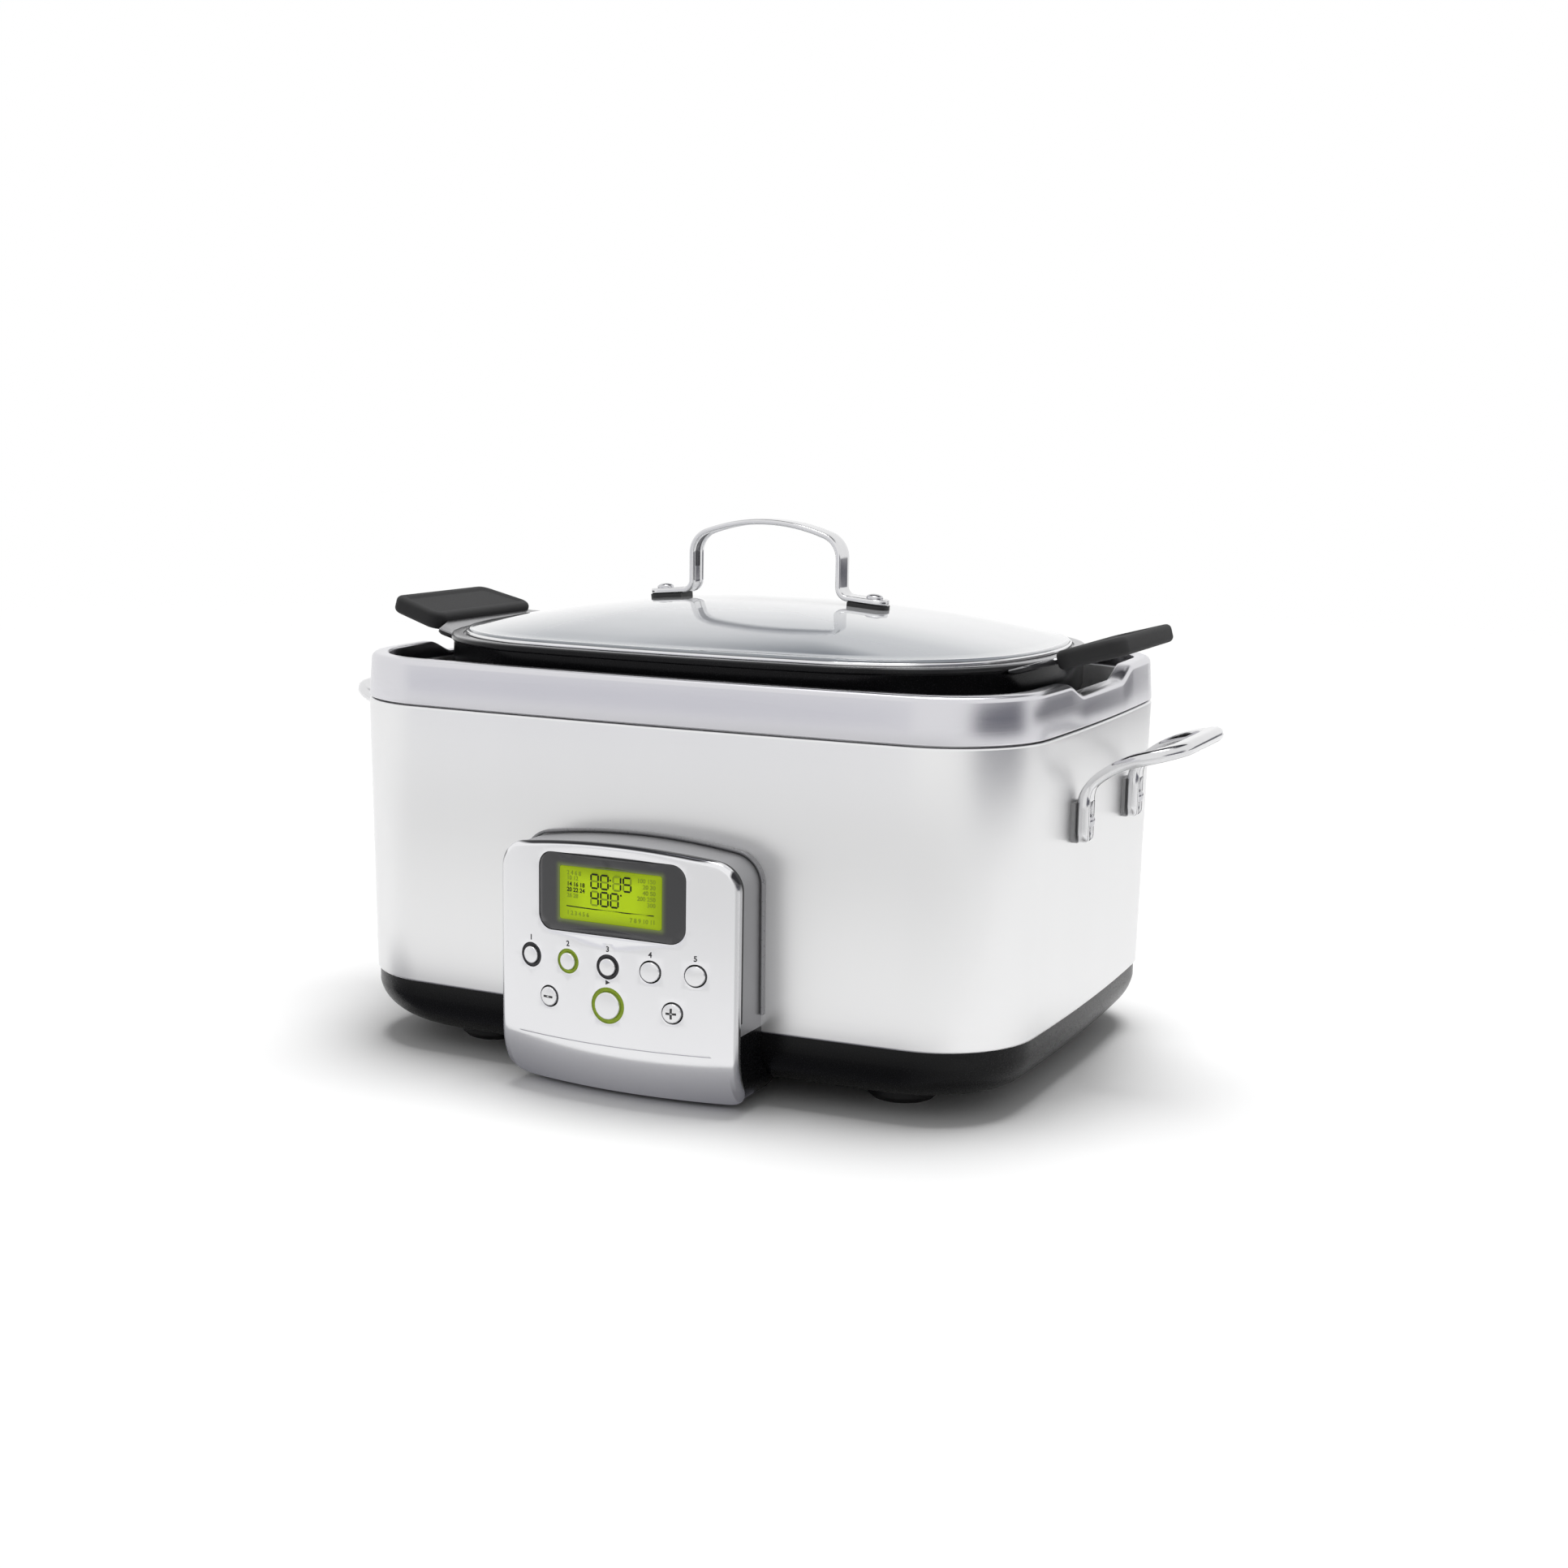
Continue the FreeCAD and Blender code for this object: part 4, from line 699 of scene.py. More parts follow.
# Each look's values: its colour and its roughness or glow. A moulded one's next values are metallic, texture,
# relief, unevenness and gloss.
looks = {
    brushed_metal: {
        "body_steel": ((0.83, 0.83, 0.832), 0.30),
        "collar_steel": ((0.68, 0.675, 0.705), 0.22),
        "sheet_steel": ((0.60, 0.60, 0.61), 0.38),
    },
    polished_metal: {
        "polished_steel": ((0.82, 0.82, 0.83), 0.09),
        # Darker copies of the polished steel, painted as shade on the handle straps and the rivet heads.
        "strap_steel": ((0.72, 0.72, 0.73), 0.11),
        # Near-black polished steel laid in the strap's channel as painted shade.
        "strap_inside": ((0.12, 0.12, 0.13), 0.2),
        "rivet_steel": ((0.58, 0.58, 0.60), 0.12),
    },
    moulded: {
        "cast_aluminium": ((0.60, 0.60, 0.61), 0.42, 1.0, 500.0),
        "base_plastic": ((0.005, 0.005, 0.0055), 0.26, 0.0, 900.0, 0.03, 0.06, 0.16),
        "fascia_silver": ((0.85, 0.85, 0.866), 0.16, 0.9, 1500.0, 0.004, 0.012),
        "housing_grey": ((0.33, 0.33, 0.342), 0.34, 0.4, 1500.0, 0.01),
        "trim_dark": ((0.26, 0.26, 0.27), 0.3, 0.4),
        "button_silver": ((0.82, 0.82, 0.83), 0.22, 0.9, 1500.0, 0.004, 0.015),
        "grip_silicone": ((0.046, 0.046, 0.047), 0.65, 0.0, 1100.0, 0.06, 0.06, 0.08),
        "gasket_rubber": ((0.012, 0.012, 0.013), 0.5, 0.0, 900.0, 0.08),
        "pad_grey": ((0.27, 0.27, 0.275), 0.5, 0.0, 900.0, 0.08),
        "washer_pale": ((0.55, 0.55, 0.56), 0.5),
        "board_green": ((0.02, 0.10, 0.04), 0.4, 0.0, 300.0),
        "component_black": ((0.02, 0.02, 0.021), 0.45, 0.0, 600.0),
        "print_dark": ((0.02, 0.021, 0.024), 0.5),
        "segment_dark": ((0.010, 0.014, 0.004), 0.5, 0.0, 700.0, 0.05, 0.06, 0.2),
        "glyph_dark": ((0.02, 0.02, 0.022), 0.35),
    },
    light_guide: {
        "ring_clear": ((0.045, 0.045, 0.05), 0.0),
        "ring_lit": ((0.16, 0.23, 0.012), 0.55),
        "segment_ghost": ((0.19, 0.265, 0.004), 0.36),
    },
    fascia_surface: {"fascia_face": ()},
    window_surface: {"bezel_black": ()},
    lit_display: {"lcd_glass": ()},
    pot_surface: {"pot_coating": ()},
    dome_surface: {"lid_glass": ()},
}
materials = {name: maker(name, *values) for maker, group in looks.items() for name, values in group.items()}
own_looks = {"side_handle_gaskets": "pad_grey"}

for part in frame["record"]["subparts"]:
    kept = frame["nodes"][part["node"]]
    kept.data.materials.clear()
    kept.data.materials.append(materials[own_looks.get(part["node"], part["material_slot"])])


# Body shell, collar, base, feet and sensor spring

shell_section = rounded([
    (shell_hem, shell_bottom, 0),
    (body_taper, shell_bottom, shell_edge),
    (0, shell_top, shell_edge),
    (shell_hem, shell_top, 0),
    (shell_hem, shell_top - shell_wall, 0),
    (shell_wall, shell_top - shell_wall, 0),
    (body_taper + shell_wall, shell_bottom + shell_wall, 0),
    (shell_hem, shell_bottom + shell_wall, 0),
])
add_piece("body_shell", ring_skin(shell_section, body_ring), "body_steel", node="outer_shell")


def clamped(value):
    return min(max(value, 0), 1)


def notch_drop(y):
    """How far the collar's top dips at a distance from the middle of a short side."""
    share = clamped((notch_mouth_half - abs(y)) / (notch_mouth_half - notch_floor_half))
    smooth = share * share * (3 - 2 * share)
    return notch_depth * (share + smooth) / 2


def collar_ring(inset, z):
    weight = clamped((z - collar_top + collar_lip_drop) / notch_blend_height)
    ring = body_ring(inset, z, short_steps=notch_steps)
    return [point - Vector((0, 0, notch_drop(point.y) * weight)) for point in ring]


collar_inside = collar_draft + collar_wall
collar_section = rounded([
    (0, collar_bottom, collar_bead),
    (collar_draft, collar_top, collar_edge),
    (collar_flange, collar_top, flange_round),
    (collar_flange, collar_top - collar_lip_drop, 0),
    (collar_flange - collar_wall, collar_top - collar_lip_drop, 0),
    (collar_flange - collar_wall, collar_top - collar_wall, 0),
    (collar_inside, collar_top - collar_wall, 0),
    (collar_inside, collar_bottom, 0),
])
add_piece("collar", ring_skin(collar_section, collar_ring), "collar_steel", node="top_collar")


def base_mesh():
    """Black base: an upright band over a belly that curves in to the bottom."""
    belly_height = shell_bottom - base_bottom - base_band
    span = math.sin(belly_stop) - math.sin(belly_start)
    rise = math.cos(belly_start) - math.cos(belly_stop)
    rings = [body_ring(base_bottom_setback + body_corner / 2, base_bottom, body_corner / 3)]
    for step in range(belly_steps + 1):
        turn = belly_start + (belly_stop - belly_start) * step / belly_steps
        share = (math.sin(turn) - math.sin(belly_start)) / span
        inset = base_bottom_setback + (base_setback - base_bottom_setback) * share
        corner = base_bottom_corner + (body_corner - base_setback - base_bottom_corner) * share
        z = base_bottom + belly_height * (math.cos(belly_start) - math.cos(turn)) / rise
        rings.append(body_ring(inset, z, corner))
    rings.append(body_ring(base_setback, shell_bottom))
    rings.append(body_ring(base_setback + base_wall, shell_bottom))
    rings.append(body_ring(base_setback + base_wall, shell_bottom - base_band))
    return skin(rings)


add_piece("base_shell", base_mesh(), "base_plastic", node="base_tray", sharp=24)

foot_profile = rounded([
    (foot_radius / 2, 0, 0),
    (foot_radius - foot_edge, 0, foot_round),
    (foot_radius, foot_edge, foot_round),
    (foot_radius, base_bottom - 3 * foot_groove, groove_round),
    (foot_radius - foot_groove, base_bottom - 2 * foot_groove, groove_round),
    (foot_radius, base_bottom - foot_groove, groove_round),
    (foot_radius, base_bottom + foot_groove, 0),
], closed=False)
feet = joined(*[lathe(foot_profile, (x, y, 0), (0, 0, 1)) for x, y in foot_places])
add_piece("feet_pads", feet, "gasket_rubber", node="feet")

leaf_low, leaf_high = box_mm("sensor_spring")
leaf_side = [
    (leaf_crest / 2, leaf_high.z),
    (leaf_high.x, leaf_low.z + leaf_wall),
    (leaf_high.x, leaf_low.z),
    (leaf_crest / 2, leaf_high.z - leaf_wall),
]
leaf_loop = leaf_side + [(-x, z) for x, z in reversed(leaf_side)]
leaf_mesh = skin([[Vector((x, y, z)) for x, z in leaf_loop] for y in (leaf_low.y, leaf_high.y)])
leaf = add_piece("sensor_leaf", leaf_mesh, "sheet_steel", node="sensor_spring", sharp=20)
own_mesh(leaf)


# Pot, ears and grips

def pot_mesh():
    """Tapered pot with a round bottom edge, a flange and a step that seats the lid."""
    outer = pot_round + pot_wall
    rim_low = pot_top - pot_flange_thickness
    flange_out = -pot_wall - pot_flange
    steps = 10
    profile = [(pot_taper - pot_wall + inset, pot_bottom + rise) for inset, rise in round_edge(outer, steps)]
    profile += rounded([
        (pot_taper - pot_wall, pot_bottom + outer, 0),
        (0, collar_top - shoulder_drop - shoulder_height, shoulder_round),
        (shoulder_inset + flange_out, collar_top - shoulder_drop, shoulder_round),
        (shoulder_inset + flange_out, rim_low, seat_round),
        (flange_out, rim_low, pot_flange_edge * 0.6),
        (flange_out, pot_top, pot_flange_edge),
        (-lid_seat_width, pot_top, seat_round),
        (-lid_seat_width, pot_top - lid_seat_depth, seat_round),
        (0, pot_top - lid_seat_depth, lip_round),
        (pot_taper, pot_bottom + pot_floor + pot_round, 0),
    ], closed=False)[1:]
    profile += [(pot_taper + inset, pot_bottom + pot_floor + rise)
                for inset, rise in reversed(round_edge(pot_round, steps)[:-1])]
    return skin([pot_ring(inset, z) for inset, z in profile])


def on_ear(point):
    """Carry (u outwards from the bend, v across, w up) onto the tilted right ear."""
    u, v, w = point
    bend_x = pot_half_length + pot_wall + pot_flange
    bend_z = pot_top - pot_flange_thickness / 2
    along = Vector((math.cos(ear_tilt), 0, math.sin(ear_tilt)))
    up = Vector((-math.sin(ear_tilt), 0, math.cos(ear_tilt)))
    return Vector((bend_x, v, bend_z)) + along * u + up * w


def ear_ring(side, level, steps=5):
    """Outline on the ear from the (u, v, radius) corners of one side and their mirror image."""
    other = [(u, -v, radius) for u, v, radius in reversed(side)]
    return [on_ear((p.x, p.y, level)) for p in rounded(side + other, steps=steps)]


def ear_mesh():
    """Plate with a wide root on the pot's flange and a narrow tongue inside the grip."""
    half = ear_thickness / 2
    rings = []
    for inset, level in [(ear_edge, -half), (0, ear_edge - half), (0, half - ear_edge), (ear_edge, half)]:
        rings.append(ear_ring([
            (-ear_overlap, ear_root_half - inset, 0),
            (ear_root_reach - inset, ear_root_half - inset, ear_corner),
            (grip_start - ear_root_reach, ear_neck_half - inset, ear_corner),
            (ear_reach - inset, ear_end_half - inset, ear_end_corner),
        ], level))
    return skin(rings)


def grip_mesh():
    """Soft slab with pillowed edges and a shallow dish in its top."""
    half = grip_thickness / 2
    floor = half - grip_dish_depth
    rows = rounded([
        (2 * grip_edge, -half, 0),
        (0, -half, grip_edge),
        (0, half, grip_edge),
        (grip_dish_margin, half, 0.8),
        (grip_dish_margin + grip_dish_slope, floor, 1.2),
        (grip_dish_margin + 2 * grip_dish_slope, floor, 0),
    ], closed=False, steps=6)
    rings = []
    for inset, level in rows:
        corner = max(grip_corner - inset, grip_least_corner)
        rings.append(ear_ring([
            (grip_start + inset, grip_inner_width / 2 - inset, corner),
            (grip_start + grip_length - inset, grip_outer_width / 2 - inset, corner),
        ], level, steps=9))
    return skin(rings)


ear = ear_mesh()
grip = grip_mesh()
add_piece("pot_body", joined(pot_mesh(), ear, flipped(ear)), "pot_coating", "pot", "cooking_pot")
add_piece("grip_right", grip, "grip_silicone", "pot", "pot_grip_right", sharp=60)
add_piece("grip_left", flipped(grip), "grip_silicone", "pot", "pot_grip_left", sharp=60)


# Lid glass and rim

def dome_height(share):
    return brim_top + lid_rise * (1 - share ** 2)


def glass_mesh():
    """Tempered glass dome with a flat, round-edged brim above the rim."""
    brim_edge = rounded([
        (brim_run, brim_bottom, 0),
        (brim_inset, brim_bottom, brim_low_round),
        (brim_inset, brim_top - brim_slope, brim_high_round),
        (brim_run, brim_top, 0),
    ], closed=False)
    shares = [1 - step / dome_steps for step in range(dome_steps)]
    rings = [pot_ring(glass_thickness / 2 - dome_out, dome_height(share) - glass_thickness, share)
             for share in reversed(shares)]
    rings.append(pot_ring(-dome_out - brim_step, brim_bottom))
    rings += [pot_ring(inset - brim_out, z) for inset, z in brim_edge]
    rings.append(pot_ring(-dome_out - brim_step, brim_top))
    rings += [pot_ring(-dome_out, dome_height(share), share) for share in shares]
    return skin(rings)


rim_section = rounded([
    (-brim_out, lid_bottom + rim_bead, 0.2),
    (-rim_out, lid_bottom + rim_bead, 0.9),
    (-rim_out, lid_bottom, 0.7),
    (lid_rim_cover - brim_out, lid_bottom, 0.3),
    (lid_rim_cover - brim_out, brim_bottom - 0.1, 0),
    (-brim_out, brim_bottom - 0.1, 0),
])
add_piece("lid_dome", glass_mesh(), "lid_glass", "lid", "lid_glass")
add_piece("lid_band", ring_skin(rim_section, pot_ring), "polished_steel", "lid", "lid_rim")


# Strap handles

upward = Vector((0, 0, 1))
outward = Vector((1, 0, 0))
end_runs = [0.1, 0.4, 1.0, 1.8, 2.8, 4.0]


def strap_ring(width, depth, edge, crown=0.0, channel=(1.0, 0.0), recess=(1.0, 0.0)):
    """Section of a strap as (out, across): a channel along its inside and a recess in its outside."""
    half = width / 2
    out = depth / 2
    channel_half = channel[0] / 2
    recess_half = recess[0] / 2
    edge = min(edge, half * 0.9, out * 0.95)
    ease = min(0.5, half * 0.1)
    return rounded([
        (out - crown, -half, edge),
        (out, -recess_half - ease, ease),
        (out - recess[1], -recess_half, ease),
        (out - recess[1], recess_half, ease),
        (out, recess_half + ease, ease),
        (out - crown, half, edge),
        (-out, half, edge),
        (-out, channel_half, ease),
        (channel[1] - out, channel_half - ease, ease),
        (channel[1] - out, ease - channel_half, ease),
        (-out, -channel_half, ease),
        (-out, -half, edge),
    ], steps=4)


def strap_skin(stations):
    """Mesh over stations of (point, tangent, normal, section), with normal pointing to the outside."""
    rings = []
    for point, tangent, normal, section in stations:
        side = tangent.cross(normal).normalized()
        rings.append([point + normal * p.x + side * p.y for p in section])
    return skin(rings)


def bend(centre, radius, start, stop, sections, outside=1):
    """Stations round an upright bend, one for each section; the strap's outside faces out of the bend or in."""
    stations = []
    for step, section in enumerate(sections, 1):
        turn = start + (stop - start) * step / len(sections)
        ray = Vector((math.cos(turn), 0, math.sin(turn)))
        ahead = Vector((-ray.z, 0, ray.x)) * math.copysign(1, stop - start)
        stations.append((centre + ray * radius, ahead, ray * outside, section))
    return stations


def mirrored(stations, axis):
    """The stations on the other side of the middle, met from their far end."""
    flip = Matrix.Identity(3)
    flip[axis][axis] = -1
    return [(flip @ point, -(flip @ tangent), flip @ normal, section)
            for point, tangent, normal, section in reversed(stations)]


def half_round(distance, radius):
    """Share of the full width at a distance from a round end."""
    return 1.0 if distance >= radius else math.sqrt(1 - (1 - distance / radius) ** 2)


def rivet_head(origin, axis, diameter, height):
    """Domed rivet head on a short shank."""
    radius = diameter / 2
    steps = 8
    turns = [quarter * step / steps for step in range(1, steps)]
    profile = [(radius * 0.9, -0.6), (radius, 0.0), (radius, height * 0.25)]
    profile += [(radius * math.cos(turn), height * (0.25 + 0.75 * math.sin(turn))) for turn in turns]
    return lathe(profile + [(radius * 0.06, height)], origin, axis)


# Foot of the lid's right rivet on the dome, the way out along the dome and the dome's normal
lid_slope = math.atan(2 * lid_rise * lid_rivet_x / dome_half_length ** 2)
lid_foot = Vector((lid_rivet_x, 0, dome_height(lid_rivet_x / dome_half_length)))
lid_out = Vector((math.cos(lid_slope), 0, -math.sin(lid_slope)))
lid_up = Vector((math.sin(lid_slope), 0, math.cos(lid_slope)))


def lid_strap_section(width_share, blend):
    """Section from the flat tab, at blend 0, to the channelled leg, at blend 1."""
    depth = lid_tab_thickness + (strap_depth - lid_tab_thickness) * blend
    width = strap_width * width_share
    edge = lid_tab_edge + (strap_edge - lid_tab_edge) * blend
    channel = (min(channel_width, width * 0.6), channel_depth * blend)
    return strap_ring(width, depth, edge, strap_crown * blend, channel, (min(6.0, width * 0.4), 0.0))


def lid_strap_stations():
    """Right half of the strap from its tab up the leg to the top, then its mirror image."""
    tab_end = lid_foot + lid_up * (gasket_thickness + lid_tab_thickness / 2) + lid_out * lid_tab_end
    run = (tab_end.x - leg_x) / lid_out.x - lid_foot_bend * math.tan((quarter - lid_slope) / 2)
    stations = [(tab_end - lid_out * distance, -lid_out, lid_up,
                 lid_strap_section(half_round(distance, strap_width / 2), 0))
                for distance in end_runs + [5.4, 7.0, 10.0, 14.0, run]]
    bend_centre = tab_end - lid_out * run + lid_up * lid_foot_bend
    blends = [lid_strap_section(1, step / 12) for step in range(1, 13)]
    stations += bend(bend_centre, lid_foot_bend, -quarter - lid_slope, -2 * quarter, blends, -1)
    full = lid_strap_section(1, 1)
    leg_low = stations[-1][0]
    peak = grip_peak - strap_depth / 2
    arch = arc_radius(leg_x - grip_bend, grip_arch)
    lean = math.asin((leg_x - grip_bend) / (arch - grip_bend))
    bend_z = peak - arch + (arch - grip_bend) * math.cos(lean)
    for share in (0.5, 1.0):
        stations.append((leg_low.lerp(Vector((leg_x, 0, bend_z)), share), upward, outward, full))
    stations += bend(Vector((leg_x - grip_bend, 0, bend_z)), grip_bend, 0, quarter - lean, [full] * 16)
    stations += bend(Vector((0, 0, peak - arch)), arch, quarter - lean, quarter, [full] * 8)
    return stations + mirrored(stations[:-1], 0), full


lid_stations, lid_leg_section = lid_strap_stations()
# A near-black strip on the floor of the strap's channel, painted shade in that recess.
channel_shade_level = channel_depth - strap_depth / 2
channel_shade_half = channel_width / 2 - 0.6
channel_shade_section = rounded([
    (channel_shade_level + 0.4, -channel_shade_half, 0),
    (channel_shade_level + 0.4, channel_shade_half, 0),
    (channel_shade_level - channel_shade_rise, channel_shade_half, 0.1),
    (channel_shade_level - channel_shade_rise, -channel_shade_half, 0.1),
], steps=2)
channel_shade_stations = [(*station[:3], channel_shade_section) for station in lid_stations if station[3] is lid_leg_section]
lid_heads = [
    rivet_head(lid_foot + lid_up * (gasket_thickness + lid_tab_thickness), lid_up, lid_rivet_head,
               rivet_head_height),
    rivet_head(lid_foot - lid_up * (glass_thickness + gasket_thickness), -lid_up, lid_rivet_head * 0.8,
               rivet_head_height * 0.6),
]
add_piece("lid_strap", strap_skin(lid_stations), "polished_steel", "lid", "lid_handle", "strap_steel", sharp=50)
add_piece("lid_strap_channel_shade", strap_skin(channel_shade_stations), "polished_steel", "lid", look="strap_inside")
add_piece("lid_rivet_heads", joined(*lid_heads, *map(flipped, lid_heads)), "polished_steel", "lid", "lid_rivets",
          "rivet_steel")


def side_section(width_share, depth_share, recess_share=0):
    width = side_width * width_share
    depth = side_depth * depth_share
    recess = (min(side_recess_width, width * 0.62), side_recess_depth * recess_share)
    return strap_ring(width, depth, side_edge * depth_share, side_crown * depth_share, (width * 0.3, 0.0), recess)


def side_strap():
    """Right side handle: round-ended feet, rising legs and the bar between them, bent from one strap."""
    out = Vector((math.cos(side_tilt), 0, math.sin(side_tilt)))
    lie = Vector((-math.sin(side_tilt), 0, math.cos(side_tilt)))
    along = Vector((0, 1, 0))
    seat = Vector((end_face + side_gasket + side_depth / 2, -side_rivet_y, side_rivet_z))
    stations = []
    for distance in end_runs + [5.2, 6.5, 9.0, 12.0, 15.0, 17.5, side_foot_below + side_foot_above]:
        level = distance - side_foot_below
        fade = 1 - clamped((level - side_recess_top + side_recess_fade) / side_recess_fade)
        open_share = clamped((distance - 1.0) / 1.8) * fade
        depth_share = side_tip_share + (1 - side_tip_share) * half_round(distance, side_depth / 2)
        set_in = outward * (side_depth * (depth_share - 1) / 2)
        stations.append((seat + upward * level + set_in, upward, outward,
                         side_section(half_round(distance, side_width / 2), depth_share, open_share)))
    centre = seat + upward * side_foot_above + outward * side_leg_bend
    narrowing = [1 + (side_waist - 1) * min(step / 8, 1) for step in range(1, 13)]
    stations += bend(centre, side_leg_bend, 2 * quarter, quarter + side_rise,
                     [side_section(share, share) for share in narrowing], -1)
    point = stations[-1][0]
    bar_reach = side_width / 2 * math.cos(side_tilt) + side_depth / 2 * math.sin(side_tilt)
    span = end_face + side_reach - bar_reach - side_bar_bend * math.cos(side_tilt) - point.x
    arch = span / (math.sin(side_rise) - math.sin(side_tilt))
    centre = point - Vector((-math.sin(side_rise), 0, math.cos(side_rise))) * arch
    widening = [side_waist + (1 - side_waist) * step / 10 for step in range(1, 11)]
    stations += bend(centre, arch, quarter + side_rise, quarter + side_tilt,
                     [side_section(share, share) for share in widening], -1)
    pivot = stations[-1][0] + along * side_bar_bend
    for step in range(15):
        angle = quarter * step / 14
        point = pivot + out * (side_bar_bend * math.sin(angle)) - along * (side_bar_bend * math.cos(angle))
        stations.append((point, out * math.cos(angle) + along * math.sin(angle), -lie, side_section(1, 1)))
    return strap_skin(stations + mirrored(stations, 1))


handle = side_strap()
rivet_seat = end_face + side_gasket + side_depth - side_recess_depth
side_heads = [rivet_head((rivet_seat, y, side_rivet_z), outward, side_rivet_head, rivet_head_height + 0.6)
              for y in (-side_rivet_y, side_rivet_y)]
add_piece("handle_right", handle, "polished_steel", node="side_handle_right", look="strap_steel", sharp=50)
add_piece("handle_left", flipped(handle), "polished_steel", node="side_handle_left", look="strap_steel", sharp=50)
add_piece("handle_rivet_heads", joined(*side_heads, *map(flipped, side_heads)), "polished_steel",
          node="side_handle_rivets", look="rivet_steel")


# Control panel

panel_radius = arc_radius(panel_half, panel_bow)


def fascia_y(x, z):
    """Y of the fascia's convex face, with the chin rolling back below the crease."""
    y = panel_front + panel_radius - math.sqrt(panel_radius ** 2 - x ** 2)
    share = clamped((crease_level - z) / (crease_level - panel_bottom)) * chin_share
    return y + chin_setback * (1 - math.sqrt(1 - share ** 2)) / (1 - math.sqrt(1 - chin_share ** 2))


def on_panel(p, back):
    """Carry a point of the panel's front view onto its curve, at a depth behind its face."""
    return Vector((p.x, fascia_y(p.x, p.y) + back, p.y))


def panel_outline(grow):
    """Front view of the panel: upright sides, an arched top and round corners."""
    half = panel_half + grow
    bottom = panel_bottom - grow
    corner = panel_top_corner + grow
    foot_corner = panel_bottom_corner + grow
    arch = arc_radius(panel_half - panel_top_corner, panel_arch) + grow
    arch_z = panel_peak + grow - arch
    corner_z = arch_z + math.sqrt((arch - corner) ** 2 - (half - corner) ** 2)
    lean = math.atan2(corner_z - arch_z, half - corner)
    foot_z = bottom + foot_corner
    points = line((half, foot_z), (half, corner_z), 18)
    points += arc((half - corner, corner_z), corner, 0, lean, 14)
    points += arc((0, arch_z), arch, lean, math.pi - lean, 22)
    points += arc((corner - half, corner_z), corner, math.pi - lean, math.pi, 14)
    points += line((-half, corner_z), (-half, foot_z), 18)
    points += arc((foot_corner - half, foot_z), foot_corner, math.pi, 3 * quarter, 10)
    points += line((foot_corner - half, bottom), (half - foot_corner, bottom), 20)
    points += arc((half - foot_corner, foot_z), foot_corner, -quarter, 0, 10)
    return points


def rounded_rectangle(low, high, corner, grow):
    corner = corner + grow
    return rounded([
        (low.x - grow, low.z - grow, corner),
        (high.x + grow, low.z - grow, corner),
        (high.x + grow, high.z + grow, corner),
        (low.x - grow, high.z + grow, corner),
    ], steps=8)


def rectangle_rows(low, high, corner, rows):
    """Rows of (outline, depth) for a rounded rectangle from rows of (growth, depth)."""
    return [(rounded_rectangle(low, high, corner, grow), depth) for grow, depth in rows]


def inside_loop(point, loop):
    """Whether a point lies inside a closed loop."""
    x, y = point
    inside = False
    for a, b in zip(loop[-1:] + loop[:-1], loop):
        if (a.y > y) != (b.y > y) and x < (b.x - a.x) * (y - a.y) / (b.y - a.y) + a.x:
            inside = not inside
    return inside


def on_sheet(point, loops, margin=0.0):
    """Whether a point lies inside the first loop, outside the rest and clear of all their corners."""
    if not inside_loop(point, loops[0]) or any(inside_loop(point, loop) for loop in loops[1:]):
        return False
    return margin == 0 or all((Vector(point) - corner).length > margin for loop in loops for corner in loop)


def curved_sheet(loop_rows, grid, thickness, relief=None):
    """Closed sheet along the panel's curve.

    Each loop has rows of (outline, depth) from the front face round to the back face; the first loop is
    the outside and the rest are holes. Grid points fill the face, and relief pushes them back.
    """
    grid_margin = 1.2
    weld = 1e-5
    face_depth = loop_rows[0][0][1]
    loops = [rows[0][0] for rows in loop_rows]
    flat, edges, orders = [], [], []
    for loop in loops:
        order = list(range(len(flat), len(flat) + len(loop)))
        edges += zip(order, order[1:] + order[:1])
        orders.append(order)
        flat += loop
    inner = [Vector(p) for p in grid if on_sheet(p, loops, grid_margin)]
    flat_points, _, triangles, origins = delaunay_2d_cdt(flat + inner, edges, [], 0, weld)[:4]
    lookup = {origin: index for index, group in enumerate(origins) for origin in group}
    rim = {lookup[index] for index in range(len(flat))}
    centres = [sum((flat_points[index] for index in triangle), Vector((0, 0))) / 3 for triangle in triangles]
    kept = [tuple(triangle) for triangle, centre in zip(triangles, centres) if on_sheet(centre, loops)]
    points = [on_panel(p, face_depth + (relief(p) if relief and index not in rim else 0))
              for index, p in enumerate(flat_points)]
    back = len(points)
    points += [on_panel(p, thickness) for p in flat_points]
    faces = kept + [tuple(index + back for index in reversed(face)) for face in kept]
    for order, rows in zip(orders, loop_rows):
        front = [lookup[index] for index in order]
        previous = front
        for loop, depth in rows[1:]:
            current = range(len(points), len(points) + len(loop))
            points += [on_panel(p, depth) for p in loop]
            faces += quads(previous, current)
            previous = current
        faces += quads(previous, [index + back for index in front])
    return points, faces


def panel_prism(loop, front, back):
    """Low prism along the panel's curve between two depths."""
    return skin([[on_panel(p, depth) for p in loop] for depth in (front, back)])


def button_place(name):
    low, high = box_mm(name)
    return (low.x + high.x) / 2, (low.z + high.z) / 2


# Each button's cap radius and its ring's radius, 0 where it has none
buttons = {
    "button_mode_1": (4.5, mode_ring),
    "button_mode_2": (4.5, mode_ring),
    "button_mode_3": (4.5, mode_ring),
    "button_time": (5.2, 0),
    "button_temp": (5.2, 0),
    "button_minus": (5.0, 0),
    "button_start": (7.15, start_ring),
    "button_plus": (5.0, 0),
}


